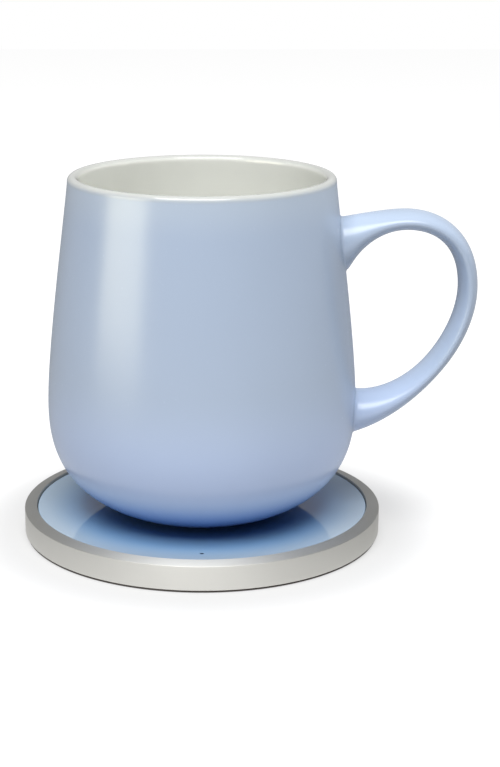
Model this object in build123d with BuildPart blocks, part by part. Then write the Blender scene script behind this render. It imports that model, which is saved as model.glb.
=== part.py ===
"""Self-heating mug on its round warming base, built as separate pieces.

Millimetres. +Z is up and the origin is on the table, under the centre of the base.
The indicator light faces -Y, the power socket faces +Y, and the mug's handle points along +X.
"""

import os
from math import cos, radians, sin, sqrt

from build123d import *

os.makedirs("parts", exist_ok=True)


def keep(part, name):
    """Label a finished piece and write it as parts/NAME.step."""
    part.label = name
    export_step(part, f"parts/{name}.step")


# ------------------------------------------------------------------ driving sizes: base
base_radius = 52.0  # outside of the metal ring
ring_wall = 2.2  # its upright wall
ring_lip_width = 1.4  # lip, in from the wall to the bore that shows the dish
ring_lip = 1.2  # height of the bore's own wall
ring_bevel_rise = 0.8  # from its outer corner up to its inner edge
ring_edge_break = 0.15  # softened edges of the ring
ring_foot_chamfer = 0.3  # outer edge at the bottom

foot_thickness = 0.6
foot_inset = 0.4  # pad's edge, in from the ring's outside
foot_groove_inset = 5.6  # groove's middle, in from the pad's edge
foot_groove_width = 1.0
foot_groove_depth = 0.25

dish_gap = 0.2  # radial gap between dish and ring
dish_edge_drop = 0.65  # dish's edge below the ring's inner edge
dish_depth = 0.95  # from the dish's edge down to its flat centre
dish_flat_margin = 9.5  # flat centre, out past the mug's foot
dish_thickness = 1.9
dish_edge_fillet = 0.35
dish_rebate_depth = 0.7  # underside is cut back around its edge
dish_rebate_to_socket = 1.7

bond_thickness = 0.3  # foam tape under the dish
bond_inset = 0.4
edge_seal_width = 0.5  # from the dish out to the frame's upstand
edge_seal_clearance = 0.05
edge_seal_drop = 0.2  # below the ring's lip

frame_floor = 0.8  # ledge that carries the dish
frame_ledge_clearance = 0.2  # around the dish's raised middle
frame_clearance = 0.1  # pieces inside the ring's wall

cover_floor = 1.0
cover_wall = 1.2

# ------------------------------------------------------------------ driving sizes: coil and board
tray_floor = 0.5
tray_clearance = 0.25  # coil to the tray's rim
tray_rim = 0.6
tray_rim_rise = 0.4  # rim above the coil
tray_hub_radius = 5.6
slot_clearance = 0.2

ferrite_thickness = 0.8
ferrite_clearance = 0.2  # to the tray's rim and hub

coil_turns = 11
coil_gap = 0.15  # between one turn and the next
coil_strand = 1.2  # width and height of the flat strand
coil_start_radius = 9.9
coil_lead_length = 14.0
coil_lead_reach = 1.5  # inner lead's end, in under the board

heat_pad_thickness = 0.8
sensor_radius = 1.1
sensor_round = 0.4
ribbon_width = 2.0
ribbon_thickness = 0.2

board_thickness = 0.8
board_standoff = 0.5
board_to_tray = 0.8
board_to_boss = 0.4
board_screw_inset = 3.5  # screws' middle, in from the board's edge
board_screw_count = 3
board_screw_start = 20.0
board_standoff_radius = 2.0

small_screw_shank = 0.7
small_screw_head_radius = 1.4
small_screw_head = 0.6
small_screw_to_foot = 0.3  # cover's floor left under the screw

cover_boss_to_wall = 0.7
cover_screw_count = 4
cover_screw_start = 45.0
cover_screw_shank = 0.8
cover_screw_head_radius = 1.8
cover_screw_head = 0.7
cover_screw_to_bond = 0.8  # screw's tip, below the foam tape
cover_screw_hole_spare = 0.2  # hole's depth beyond the screw's tip
cover_boss_radius = 2.2
cover_boss_rise = 0.6
screw_clearance = 0.03
drive_width = 0.35
drive_length = 1.5
drive_depth = 0.35

light_inset = 1.0  # indicator's place, in from the dish's rebate
light_pipe_radius = 0.6
light_pipe_flange_radius = 1.0
light_pipe_flange = 0.6  # against the dish's underside
light_pipe_recess = 0.08
light_pipe_clearance = 0.04
led_length, led_width, led_height = 1.6, 1.0, 0.6

# Board components, by node: length along the radius, width, height, angles around the board.
components = {
    "controller_chip": (6.0, 6.0, 0.9, (180,)),
    "power_chip": (4.0, 4.0, 0.9, (66,)),
    "bridge_transistors": (3.3, 3.3, 0.8, range(205, 242, 12)),
    "resonant_capacitors": (4.5, 3.2, 1.6, range(284, 321, 12)),
    "filter_inductors": (4.2, 4.2, 1.8, range(98, 113, 14)),
    "board_capacitors": (1.6, 0.8, 0.8, range(150, 171, 5)),
}
component_chamfer = 0.1
component_headroom = 0.2  # tallest component to the dish

# ------------------------------------------------------------------ driving sizes: power socket
socket_width, socket_height, socket_length = 8.94, 3.16, 7.3
socket_wall = 0.3
socket_setback = 1.0  # mouth, in from the ring's outside
socket_tongue_width, socket_tongue_height = 6.7, 0.7
socket_tongue_setback = 0.7
socket_block = 1.6  # plastic block at the socket's back
socket_wing, socket_wing_width, socket_wing_thickness = 2.0, 1.5, 0.2
port_liner_wall = 0.63
port_clearance = 0.05  # liner to the socket, and to the ring
board_tab_margin = 1.5  # board past the socket's wings
board_tab_to_wall = 1.1

# ------------------------------------------------------------------ driving sizes: mug
mug_height = 98.0
mug_belly_radius = 44.45
mug_belly_height = 32.0
mug_rim_radius = 37.8
mug_foot_radius = 20.5
mug_foot_round = 0.5
mug_foot_width = 2.2
mug_recess_depth = 1.4
mug_floor = 4.2
mug_wall = 3.8
mug_lip = 3.0
mug_floor_flat_inset = 2.5  # flat of the inside floor, in from the foot's outside
mug_foot_angle = 17.0  # slope of the side where it leaves the foot
mug_rim_lean = 4.2  # inward lean of the side at the rim
mug_foot_pull, mug_low_pull, mug_high_pull, mug_rim_pull = 22.4, 10.6, 16.3, 6.9
mug_inner_foot_pull, mug_inner_low_pull = 13.0, 20.0

film_thickness = 0.15
film_inset = 0.9  # film's edge, in from the seal
film_hole_radius = 3.0
cover_disc_thickness = 0.8
seal_width = 0.6

handle_reach = 75.8  # middle of the handle at its furthest, from the mug's axis
handle_reach_drop = 32.5  # that place, below the rim's crest
handle_upper_drop = 22.5  # middle of its upper root's end, below the rim's crest
handle_lower_drop = 2.9  # middle of its lower root's end, below the belly
handle_sink = 3.9  # roots' ends, in from the rim's and the belly's radius
handle_upper_rise = 38.5  # slope of its middle line at the upper root
handle_upper_pull, handle_rise_pull, handle_fall_pull, handle_lower_pull = 26.4, 21.6, 16.2, 18.9
handle_top_thickness = 5.8
handle_low_thickness = 4.8
handle_width = 15.0
handle_upper_root = 20.6  # thickness at the two roots' ends
handle_lower_root = 14.3
handle_root_width = 17.5
handle_upper_flare = 0.223  # share of its length over which each root flares
handle_lower_flare = 0.288
handle_stations = 15

# ------------------------------------------------------------------ radii, from the outside in
ring_inner_radius = base_radius - ring_wall
ring_bore_radius = ring_inner_radius - ring_lip_width
foot_radius = base_radius - foot_inset
foot_groove_radius = foot_radius - foot_groove_inset

socket_mouth = base_radius - socket_setback
socket_back = socket_mouth - socket_length

dish_radius = ring_bore_radius - dish_gap
dish_flat_radius = mug_foot_radius + dish_flat_margin
dish_rebate_radius = socket_back - dish_rebate_to_socket
light_radius = dish_rebate_radius - light_inset

frame_radius = ring_inner_radius - frame_clearance
frame_upstand_radius = dish_radius + edge_seal_width
frame_ledge_inner_radius = dish_rebate_radius + frame_ledge_clearance
cover_inner_radius = frame_radius - cover_wall
cover_screw_circle = cover_inner_radius - cover_boss_to_wall - cover_boss_radius

coil_pitch = coil_strand + coil_gap
coil_end_radius = coil_start_radius + coil_turns * coil_pitch
tray_inner_radius = coil_end_radius + coil_strand / 2 + tray_clearance
tray_radius = tray_inner_radius + tray_rim

board_inner_radius = tray_radius + board_to_tray
board_outer_radius = cover_screw_circle - cover_boss_radius - board_to_boss
board_screw_circle = board_outer_radius - board_screw_inset
board_tab_reach = cover_inner_radius - board_tab_to_wall
component_circle = (board_inner_radius + board_outer_radius) / 2

# ------------------------------------------------------------------ heights, from the table up
cover_bottom = foot_thickness
cover_top = cover_bottom + cover_floor
board_bottom = cover_top + board_standoff
board_top = board_bottom + board_thickness
tallest_component = max(height for length, width, height, angles in components.values())

ferrite_bottom = cover_top + tray_floor
coil_bottom = ferrite_bottom + ferrite_thickness
coil_top = coil_bottom + coil_strand
under_board = min(board_bottom, ferrite_bottom)  # top of what runs below board and ferrite

# The dish stands clear of the coil's heat pad, the board's components and the socket.
dish_under = max(
    coil_top + heat_pad_thickness,
    board_top + tallest_component + component_headroom,
    cover_top + socket_height + 2 * slot_clearance + bond_thickness - dish_rebate_depth,
)
dish_seat = dish_under + dish_rebate_depth
dish_top = dish_under + dish_thickness
dish_edge = dish_top + dish_depth
ring_top = dish_edge + dish_edge_drop
ring_corner = ring_top - ring_bevel_rise
ring_lip_bottom = ring_top - ring_lip

bond_bottom = dish_seat - bond_thickness
frame_bottom = bond_bottom - frame_floor
cover_screw_top = bond_bottom - cover_screw_to_bond
small_screw_bottom = cover_bottom + small_screw_to_foot
socket_middle = (cover_top + bond_bottom) / 2

mug_rim_height = mug_height - mug_lip / 2
mug_recess_radius = mug_foot_radius - mug_foot_width
mug_inner_floor = mug_recess_depth + mug_floor

mug_plan = Plane.XZ.shift_origin((0, 0, dish_top))


# ------------------------------------------------------------------ shapes drawn more than once
def at_cover_screws(radius):
    """Draw a circle on the axis of each screw that holds the cover."""
    with PolarLocations(cover_screw_circle, cover_screw_count, cover_screw_start):
        Circle(radius)


def at_board_screws(radius, mode=Mode.ADD):
    """Draw a circle on the axis of each screw that holds the board."""
    with PolarLocations(board_screw_circle, board_screw_count, board_screw_start):
        Circle(radius, mode=mode)


def cross_drive():
    """Draw the cross recess of a screw's head."""
    Rectangle(drive_length, drive_width)
    Rectangle(drive_width, drive_length)


def port_outline(width, height):
    """Draw a slot with round ends, centred on the socket's height."""
    with Locations((0, socket_middle)):
        SlotOverall(width, height)


# ------------------------------------------------------------------ metal ring
with BuildPart() as bezel_ring:
    with BuildSketch(Plane.XZ):
        with BuildLine():
            Polyline(
                (ring_inner_radius, cover_bottom),
                (base_radius - ring_foot_chamfer, cover_bottom),
                (base_radius, cover_bottom + ring_foot_chamfer),
                (base_radius, ring_corner),
                (ring_bore_radius, ring_top),
                (ring_bore_radius, ring_lip_bottom),
                (ring_inner_radius, ring_lip_bottom),
                close=True,
            )
        make_face()
    revolve(axis=Axis.Z)
    chamfer(bezel_ring.edges().group_by(Axis.Z)[-1], length=ring_edge_break)
    with BuildSketch(Plane.XZ):
        port_outline(
            socket_width + 2 * (port_liner_wall + 2 * port_clearance),
            socket_height + 2 * (port_liner_wall + 2 * port_clearance),
        )
    extrude(amount=-2 * base_radius, mode=Mode.SUBTRACT)
keep(bezel_ring.part, "bezel_ring")

# ------------------------------------------------------------------ dish that the mug stands on
dish_curve_radius = ((dish_radius - dish_flat_radius) ** 2 + dish_depth**2) / (2 * dish_depth)
light_surface = (
    dish_top
    + dish_curve_radius
    - sqrt(dish_curve_radius**2 - (light_radius - dish_flat_radius) ** 2)
)

with BuildPart() as dish_plate:
    with BuildSketch(Plane.XZ):
        with BuildLine():
            Line((0, dish_top), (dish_flat_radius, dish_top))
            TangentArc((dish_flat_radius, dish_top), (dish_radius, dish_edge), tangent=(1, 0))
            Polyline(
                (dish_radius, dish_edge),
                (dish_radius, dish_seat),
                (dish_rebate_radius, dish_seat),
                (dish_rebate_radius, dish_under),
                (0, dish_under),
                (0, dish_top),
            )
        make_face()
    revolve(axis=Axis.Z)
    fillet(dish_plate.edges().group_by(Axis.Z)[-1], radius=dish_edge_fillet)
    with Locations((0, -light_radius, dish_edge)):
        Hole(light_pipe_radius + light_pipe_clearance)
keep(dish_plate.part, "dish_plate")

# ------------------------------------------------------------------ foam tape under the dish
with BuildPart() as bond_ring:
    with BuildSketch(Plane.XY.offset(bond_bottom)):
        Circle(dish_radius - bond_inset)
        Circle(dish_rebate_radius + bond_inset, mode=Mode.SUBTRACT)
    extrude(amount=bond_thickness)
keep(bond_ring.part, "bond_ring")

# ------------------------------------------------------------------ seal around the dish's edge
with BuildPart() as edge_seal:
    with BuildSketch(Plane.XY.offset(bond_bottom)):
        Circle(frame_upstand_radius - edge_seal_clearance)
        Circle(dish_radius + edge_seal_clearance, mode=Mode.SUBTRACT)
    extrude(amount=ring_lip_bottom - edge_seal_drop - bond_bottom)
keep(edge_seal.part, "edge_seal")

# ------------------------------------------------------------------ frame that carries the dish
with BuildPart() as inner_frame:
    with BuildSketch(Plane.XY.offset(frame_bottom)):
        Circle(frame_radius)
        Circle(frame_ledge_inner_radius, mode=Mode.SUBTRACT)
    extrude(amount=frame_floor)
    with BuildSketch(Plane.XY.offset(bond_bottom)):
        Circle(frame_radius)
        Circle(frame_upstand_radius, mode=Mode.SUBTRACT)
    extrude(amount=ring_lip_bottom - bond_bottom)
    with BuildSketch(Plane.XY.offset(cover_top + cover_boss_rise)):
        at_cover_screws(cover_boss_radius)
    extrude(amount=frame_bottom - cover_top - cover_boss_rise)
    with BuildSketch(Plane.XY.offset(cover_top)):
        at_cover_screws(cover_screw_shank + screw_clearance)
    extrude(amount=cover_screw_top + cover_screw_hole_spare - cover_top, mode=Mode.SUBTRACT)
    with BuildSketch(Plane.XZ.offset(-socket_back + slot_clearance)):
        port_outline(socket_width + 2 * slot_clearance, socket_height + 2 * slot_clearance)
    extrude(amount=-base_radius, mode=Mode.SUBTRACT)
keep(inner_frame.part, "inner_frame")

# ------------------------------------------------------------------ bottom cover
with BuildPart() as bottom_cover:
    with BuildSketch(Plane.XY.offset(cover_bottom)):
        Circle(frame_radius)
    extrude(amount=cover_floor)
    with BuildSketch(Plane.XY.offset(cover_top)):
        Circle(frame_radius)
        Circle(cover_inner_radius, mode=Mode.SUBTRACT)
    extrude(amount=frame_bottom - cover_top)
    with BuildSketch(Plane.XY.offset(cover_top)):
        at_cover_screws(cover_boss_radius)
    extrude(amount=cover_boss_rise)
    with BuildSketch(Plane.XY.offset(cover_top)):
        at_board_screws(board_standoff_radius)
    extrude(amount=board_standoff)
    with BuildSketch(Plane.XY.offset(cover_bottom)):
        at_cover_screws(cover_screw_head_radius + screw_clearance)
    extrude(amount=cover_screw_head, mode=Mode.SUBTRACT)
    with BuildSketch(Plane.XY.offset(cover_bottom)):
        at_cover_screws(cover_screw_shank + screw_clearance)
    extrude(amount=cover_floor + cover_boss_rise, mode=Mode.SUBTRACT)
    with BuildSketch(Plane.XY.offset(board_bottom)):
        at_board_screws(small_screw_shank + screw_clearance)
    extrude(amount=small_screw_bottom - board_bottom, mode=Mode.SUBTRACT)
    with BuildSketch(Plane.XZ.offset(-socket_back + slot_clearance)):
        with Locations((0, socket_middle)):
            Rectangle(socket_width + 2 * slot_clearance, socket_height + 2 * slot_clearance)
    extrude(amount=-base_radius, mode=Mode.SUBTRACT)
keep(bottom_cover.part, "bottom_cover")

# ------------------------------------------------------------------ rubber foot pad
with BuildPart() as foot_pad:
    with BuildSketch():
        Circle(foot_radius)
    extrude(amount=foot_thickness)
    with BuildSketch():
        Circle(foot_groove_radius + foot_groove_width / 2)
        Circle(foot_groove_radius - foot_groove_width / 2, mode=Mode.SUBTRACT)
    extrude(amount=foot_groove_depth, mode=Mode.SUBTRACT)
keep(foot_pad.part, "foot_pad")

# ------------------------------------------------------------------ screws
with BuildPart() as cover_screws:
    with BuildSketch(Plane.XY.offset(cover_bottom)):
        at_cover_screws(cover_screw_head_radius)
    extrude(amount=cover_screw_head)
    with BuildSketch(Plane.XY.offset(cover_bottom)):
        at_cover_screws(cover_screw_shank)
    extrude(amount=cover_screw_top - cover_bottom)
    with BuildSketch(Plane.XY.offset(cover_bottom)):
        with PolarLocations(cover_screw_circle, cover_screw_count, cover_screw_start):
            cross_drive()
    extrude(amount=drive_depth, mode=Mode.SUBTRACT)
keep(cover_screws.part, "cover_screws")

with BuildPart() as board_screws:
    with BuildSketch(Plane.XY.offset(board_top)):
        at_board_screws(small_screw_head_radius)
    extrude(amount=small_screw_head)
    with BuildSketch(Plane.XY.offset(board_top)):
        at_board_screws(small_screw_shank)
    extrude(amount=small_screw_bottom - board_top)
    with BuildSketch(Plane.XY.offset(board_top + small_screw_head)):
        with PolarLocations(board_screw_circle, board_screw_count, board_screw_start):
            cross_drive()
    extrude(amount=-drive_depth, mode=Mode.SUBTRACT)
keep(board_screws.part, "board_screws")

# ------------------------------------------------------------------ coil tray
lead_slot = coil_strand + 2 * slot_clearance
inner_lead_y = -coil_strand / 2

with BuildPart() as coil_tray:
    with BuildSketch(Plane.XY.offset(cover_top)):
        Circle(tray_radius)
    extrude(amount=tray_floor)
    with BuildSketch(Plane.XY.offset(ferrite_bottom)):
        Circle(tray_radius)
        Circle(tray_inner_radius, mode=Mode.SUBTRACT)
    extrude(amount=coil_top - ferrite_bottom + tray_rim_rise)
    with BuildSketch(Plane.XY.offset(ferrite_bottom)):
        Circle(tray_hub_radius)
    extrude(amount=coil_top - ferrite_bottom)
    with Locations((0, 0, coil_top)):
        Hole(sensor_radius + slot_clearance)
    # radial slots in the floor, for the coil's inner lead and the sensor's ribbon
    with BuildSketch(Plane.XY.offset(cover_top)):
        with Locations((coil_start_radius - lead_slot / 2, inner_lead_y)):
            Rectangle(tray_radius, lead_slot, align=(Align.MIN, Align.CENTER))
        Rectangle(
            tray_radius + slot_clearance,
            ribbon_width + 2 * slot_clearance,
            align=(Align.MAX, Align.CENTER),
        )
    extrude(amount=tray_floor, mode=Mode.SUBTRACT)
    # notch in the rim, for the coil's outer lead
    with BuildSketch(Plane.XY.offset(ferrite_bottom)):
        with Locations((coil_end_radius, 0)):
            Rectangle(lead_slot, coil_lead_length, align=(Align.CENTER, Align.MIN))
    extrude(amount=coil_top - ferrite_bottom + tray_rim_rise, mode=Mode.SUBTRACT)
keep(coil_tray.part, "coil_tray")

# ------------------------------------------------------------------ ferrite disc
with BuildPart() as ferrite_disc:
    with BuildSketch(Plane.XY.offset(ferrite_bottom)):
        Circle(tray_inner_radius - ferrite_clearance)
        Circle(tray_hub_radius + ferrite_clearance, mode=Mode.SUBTRACT)
        with Locations((coil_start_radius, inner_lead_y)):
            Rectangle(lead_slot, lead_slot, mode=Mode.SUBTRACT)
    extrude(amount=ferrite_thickness)
keep(ferrite_disc.part, "ferrite_disc")

# ------------------------------------------------------------------ coil: half turns, two centres
with BuildPart() as transmitter_coil:
    with BuildSketch(Plane.XY.offset(coil_bottom)):
        with BuildLine():
            for turn in range(coil_turns):
                near = coil_start_radius + turn * coil_pitch
                CenterArc((0, 0), near, 0, 180)
                CenterArc((coil_pitch / 2, 0), near + coil_pitch / 2, 180, 180)
        trace(line_width=coil_strand)
    extrude(amount=coil_strand)
keep(transmitter_coil.part, "transmitter_coil")

with BuildPart() as coil_leads:
    # outer lead: straight on from the coil's end, over the ferrite and the board
    with BuildSketch(Plane.XY.offset(max(coil_bottom, board_top))):
        with Locations((coil_end_radius, 0)):
            Rectangle(coil_strand, coil_lead_length, align=(Align.CENTER, Align.MIN))
    extrude(amount=coil_top - max(coil_bottom, board_top))
    # inner lead: down beside the ferrite, then out under the board
    with BuildSketch(Plane.XZ):
        with BuildLine():
            Polyline(
                (coil_start_radius - coil_strand / 2, coil_top),
                (coil_start_radius + coil_strand / 2, coil_top),
                (coil_start_radius + coil_strand / 2, under_board),
                (board_inner_radius + coil_lead_reach, under_board),
                (board_inner_radius + coil_lead_reach, cover_top),
                (coil_start_radius - coil_strand / 2, cover_top),
                close=True,
            )
        make_face()
    extrude(amount=coil_strand)
keep(coil_leads.part, "coil_leads")

# ------------------------------------------------------------------ heat pad and sensor
with BuildPart() as heat_pad:
    with BuildSketch(Plane.XY.offset(coil_top)):
        Circle(coil_end_radius)
        Circle(tray_hub_radius + ferrite_clearance, mode=Mode.SUBTRACT)
    extrude(amount=dish_under - coil_top)
keep(heat_pad.part, "heat_pad")

with BuildPart() as temperature_sensor:
    with BuildSketch(Plane.XY.offset(under_board)):
        Circle(sensor_radius)
    extrude(amount=dish_under - under_board)
    fillet(temperature_sensor.edges().filter_by(GeomType.CIRCLE).sort_by(Axis.Z)[-1], radius=sensor_round)
keep(temperature_sensor.part, "temperature_sensor")

with BuildPart() as sensor_ribbon:
    with BuildSketch(Plane.XY.offset(under_board)):
        Rectangle(
            board_inner_radius + coil_lead_reach, ribbon_width, align=(Align.MAX, Align.CENTER)
        )
    extrude(amount=-ribbon_thickness)
keep(sensor_ribbon.part, "sensor_ribbon")

# ------------------------------------------------------------------ circuit board
with BuildPart() as circuit_board:
    with BuildSketch(Plane.XY.offset(board_bottom)):
        Circle(board_outer_radius)
        Rectangle(
            socket_width + 2 * (socket_wing + board_tab_margin),
            board_tab_reach,
            align=(Align.CENTER, Align.MIN),
        )
        Circle(board_inner_radius, mode=Mode.SUBTRACT)
        with Locations((0, socket_back - slot_clearance)):
            Rectangle(
                socket_width + 2 * slot_clearance,
                base_radius,
                align=(Align.CENTER, Align.MIN),
                mode=Mode.SUBTRACT,
            )
        at_board_screws(small_screw_shank + screw_clearance, mode=Mode.SUBTRACT)
    extrude(amount=board_thickness)
keep(circuit_board.part, "circuit_board")

# ------------------------------------------------------------------ components on the board
for name, (length, width, height, angles) in components.items():
    with BuildPart() as component:
        with BuildSketch(Plane.XY.offset(board_top)):
            for angle in angles:
                with PolarLocations(component_circle, 1, start_angle=angle):
                    Rectangle(length, width)
        extrude(amount=height)
        chamfer(component.edges().group_by(Axis.Z)[-1], length=component_chamfer)
    keep(component.part, name)

# ------------------------------------------------------------------ indicator light
with BuildPart() as indicator_led:
    with BuildSketch(Plane.XY.offset(board_top)):
        with Locations((0, -light_radius)):
            Rectangle(led_length, led_width)
    extrude(amount=led_height)
keep(indicator_led.part, "indicator_led")

with BuildPart() as light_pipe:
    with BuildSketch(Plane.XY.offset(dish_under)):
        with Locations((0, -light_radius)):
            Circle(light_pipe_flange_radius)
    extrude(amount=-light_pipe_flange)
    with BuildSketch(Plane.XY.offset(dish_under)):
        with Locations((0, -light_radius)):
            Circle(light_pipe_radius)
    extrude(amount=light_surface - light_pipe_recess - dish_under)
keep(light_pipe.part, "light_pipe")

# ------------------------------------------------------------------ power socket
with BuildPart() as socket_shell:
    with BuildSketch(Plane.XZ.offset(-socket_back)):
        port_outline(socket_width, socket_height)
    extrude(amount=-socket_length)
    with BuildSketch(Plane.XZ.offset(-socket_back)):
        port_outline(socket_width - 2 * socket_wall, socket_height - 2 * socket_wall)
    extrude(amount=-socket_length, mode=Mode.SUBTRACT)
    # side wings, soldered to the board
    with BuildSketch(Plane.XY.offset(board_top)):
        with Locations((0, (socket_back + board_tab_reach) / 2)):
            Rectangle(socket_width + 2 * socket_wing, socket_wing_width)
            Rectangle(socket_width - 2 * socket_wall, socket_wing_width, mode=Mode.SUBTRACT)
    extrude(amount=socket_wing_thickness)
keep(socket_shell.part, "socket_shell")

with BuildPart() as socket_tongue:
    with BuildSketch(Plane.XZ.offset(-socket_back)):
        port_outline(socket_width - 2 * socket_wall, socket_height - 2 * socket_wall)
    extrude(amount=-socket_block)
    with BuildSketch(Plane.XZ.offset(-socket_back)):
        with Locations((0, socket_middle)):
            Rectangle(socket_tongue_width, socket_tongue_height)
    extrude(amount=-socket_length + socket_tongue_setback)
keep(socket_tongue.part, "socket_tongue")

with BuildPart() as port_liner:
    with BuildSketch(Plane.XZ.offset(-socket_back)):
        port_outline(
            socket_width + 2 * (port_liner_wall + port_clearance),
            socket_height + 2 * (port_liner_wall + port_clearance),
        )
    extrude(amount=-socket_length - socket_setback)
    with BuildSketch(Plane.XZ.offset(-socket_back)):
        port_outline(socket_width + 2 * port_clearance, socket_height + 2 * port_clearance)
    extrude(amount=-socket_length - socket_setback, mode=Mode.SUBTRACT)
    # curved like the ring's wall
    with BuildSketch():
        Circle(base_radius - ring_edge_break)
        Circle(ring_inner_radius, mode=Mode.SUBTRACT)
    extrude(amount=ring_corner, mode=Mode.INTERSECT)
keep(port_liner.part, "port_liner")


# ------------------------------------------------------------------ mug
def wall_curve(start, start_angle, start_pull, low_pull, belly_radius, rim_radius):
    """Draw one side of the mug's wall: from start, out to the belly, then up to the rim."""
    belly = (belly_radius, mug_belly_height)
    rim = (rim_radius, mug_rim_height)
    start_turn, rim_turn = radians(start_angle), radians(mug_rim_lean)
    Bezier(
        start,
        (start[0] + start_pull * cos(start_turn), start[1] + start_pull * sin(start_turn)),
        (belly_radius, mug_belly_height - low_pull),
        belly,
    )
    Bezier(
        belly,
        (belly_radius, mug_belly_height + mug_high_pull),
        (rim_radius + mug_rim_pull * sin(rim_turn), mug_rim_height - mug_rim_pull * cos(rim_turn)),
        rim,
    )


mug_side_start = (mug_foot_radius + mug_foot_round, mug_foot_round)
mug_inside_start = (mug_foot_radius - mug_floor_flat_inset, mug_inner_floor)


def mug_side():
    """Draw the outside of the mug's wall."""
    wall_curve(
        mug_side_start,
        mug_foot_angle,
        mug_foot_pull,
        mug_low_pull,
        mug_belly_radius,
        mug_rim_radius,
    )


def mug_inside():
    """Draw the inside of the mug's wall, from its flat floor up."""
    belly_radius = mug_belly_radius - mug_wall
    wall_curve(
        mug_inside_start,
        0,
        mug_inner_foot_pull,
        mug_inner_low_pull,
        belly_radius,
        mug_rim_radius - mug_lip,
    )


with BuildPart() as mug_body:
    with BuildSketch(mug_plan):
        with BuildLine():
            mug_side()
            Polyline(
                (mug_rim_radius, mug_rim_height),
                (0, mug_rim_height),
                (0, mug_recess_depth),
                (mug_recess_radius, mug_recess_depth),
                (mug_recess_radius, 0),
                (mug_foot_radius, 0),
                mug_side_start,
            )
        make_face()
        with BuildLine():
            mug_inside()
            Polyline(
                (mug_rim_radius - mug_lip, mug_rim_height),
                (0, mug_rim_height),
                (0, mug_inner_floor),
                mug_inside_start,
            )
        make_face(mode=Mode.SUBTRACT)
        with Locations((mug_rim_radius - mug_lip / 2, mug_rim_height)):
            Circle(mug_lip / 2)
    revolve(axis=Axis.Z)
keep(mug_body.part, "mug_body")

# Everything inside the mug's outer surface, to cut the handle's roots back to it.
with BuildPart() as mug_envelope:
    with BuildSketch(mug_plan):
        with BuildLine():
            mug_side()
            Polyline(
                (mug_rim_radius, mug_rim_height),
                (0, mug_rim_height),
                (0, mug_foot_round),
                mug_side_start,
            )
        make_face()
    revolve(axis=Axis.Z)

handle_upper_end = (mug_rim_radius - handle_sink, mug_height - handle_upper_drop)
handle_far = (handle_reach, mug_height - handle_reach_drop)
handle_lower_end = (mug_belly_radius - handle_sink, mug_belly_height - handle_lower_drop)


def root_flare(share, flare):
    """Swell from 0 at a distance `flare` from a root to 1 at the root itself."""
    return max(0.0, 1 - share / flare) ** 2


with BuildLine(mug_plan) as handle_path:
    rise = radians(handle_upper_rise)
    Bezier(
        handle_upper_end,
        (
            handle_upper_end[0] + handle_upper_pull * cos(rise),
            handle_upper_end[1] + handle_upper_pull * sin(rise),
        ),
        (handle_far[0], handle_far[1] + handle_rise_pull),
        handle_far,
    )
    Bezier(
        handle_far,
        (handle_far[0], handle_far[1] - handle_fall_pull),
        (handle_lower_end[0] + handle_lower_pull, handle_lower_end[1]),
        handle_lower_end,
    )

with BuildPart() as mug_handle:
    for station in range(handle_stations):
        share = station / (handle_stations - 1)
        upper = root_flare(share, handle_upper_flare)
        lower = root_flare(1 - share, handle_lower_flare)
        plain = handle_top_thickness + share * (handle_low_thickness - handle_top_thickness)
        thickness = (
            plain + upper * (handle_upper_root - plain) + lower * (handle_lower_root - plain)
        )
        width = handle_width + (upper + lower) * (handle_root_width - handle_width)
        section = Plane(
            origin=handle_path.line @ share, x_dir=(0, 1, 0), z_dir=handle_path.line % share
        )
        with BuildSketch(section):
            Ellipse(width / 2, thickness / 2)
    loft()
    add(mug_envelope.part, mode=Mode.SUBTRACT)
keep(mug_handle.part, "mug_handle")

# ------------------------------------------------------------------ heating film under the mug
film_bottom = dish_top + mug_recess_depth - film_thickness
cover_disc_bottom = film_bottom - cover_disc_thickness

with BuildPart() as heating_film:
    with BuildSketch(Plane.XY.offset(film_bottom)):
        Circle(mug_recess_radius - seal_width - film_inset)
        Circle(film_hole_radius, mode=Mode.SUBTRACT)
    extrude(amount=film_thickness)
keep(heating_film.part, "heating_film")

with BuildPart() as film_cover:
    with BuildSketch(Plane.XY.offset(cover_disc_bottom)):
        Circle(mug_recess_radius - seal_width)
    extrude(amount=cover_disc_thickness)
keep(film_cover.part, "film_cover")

with BuildPart() as cover_seal:
    with BuildSketch(Plane.XY.offset(cover_disc_bottom)):
        Circle(mug_recess_radius)
        Circle(mug_recess_radius - seal_width, mode=Mode.SUBTRACT)
    extrude(amount=cover_disc_thickness + film_thickness)
keep(cover_seal.part, "cover_seal")
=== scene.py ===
"""Self-heating mug on its round warming base, dressed and lit in a plain pale studio.

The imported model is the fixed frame: metres, +Z up, the origin on the table under the middle of
the base. The object's sizes are in millimetres, as on a maker's drawing, and mm() turns them to
metres. The studio's are in metres.
"""

import logging
import math
from dataclasses import dataclass, field
from enum import Enum
from typing import Callable, Mapping, Sequence

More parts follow.
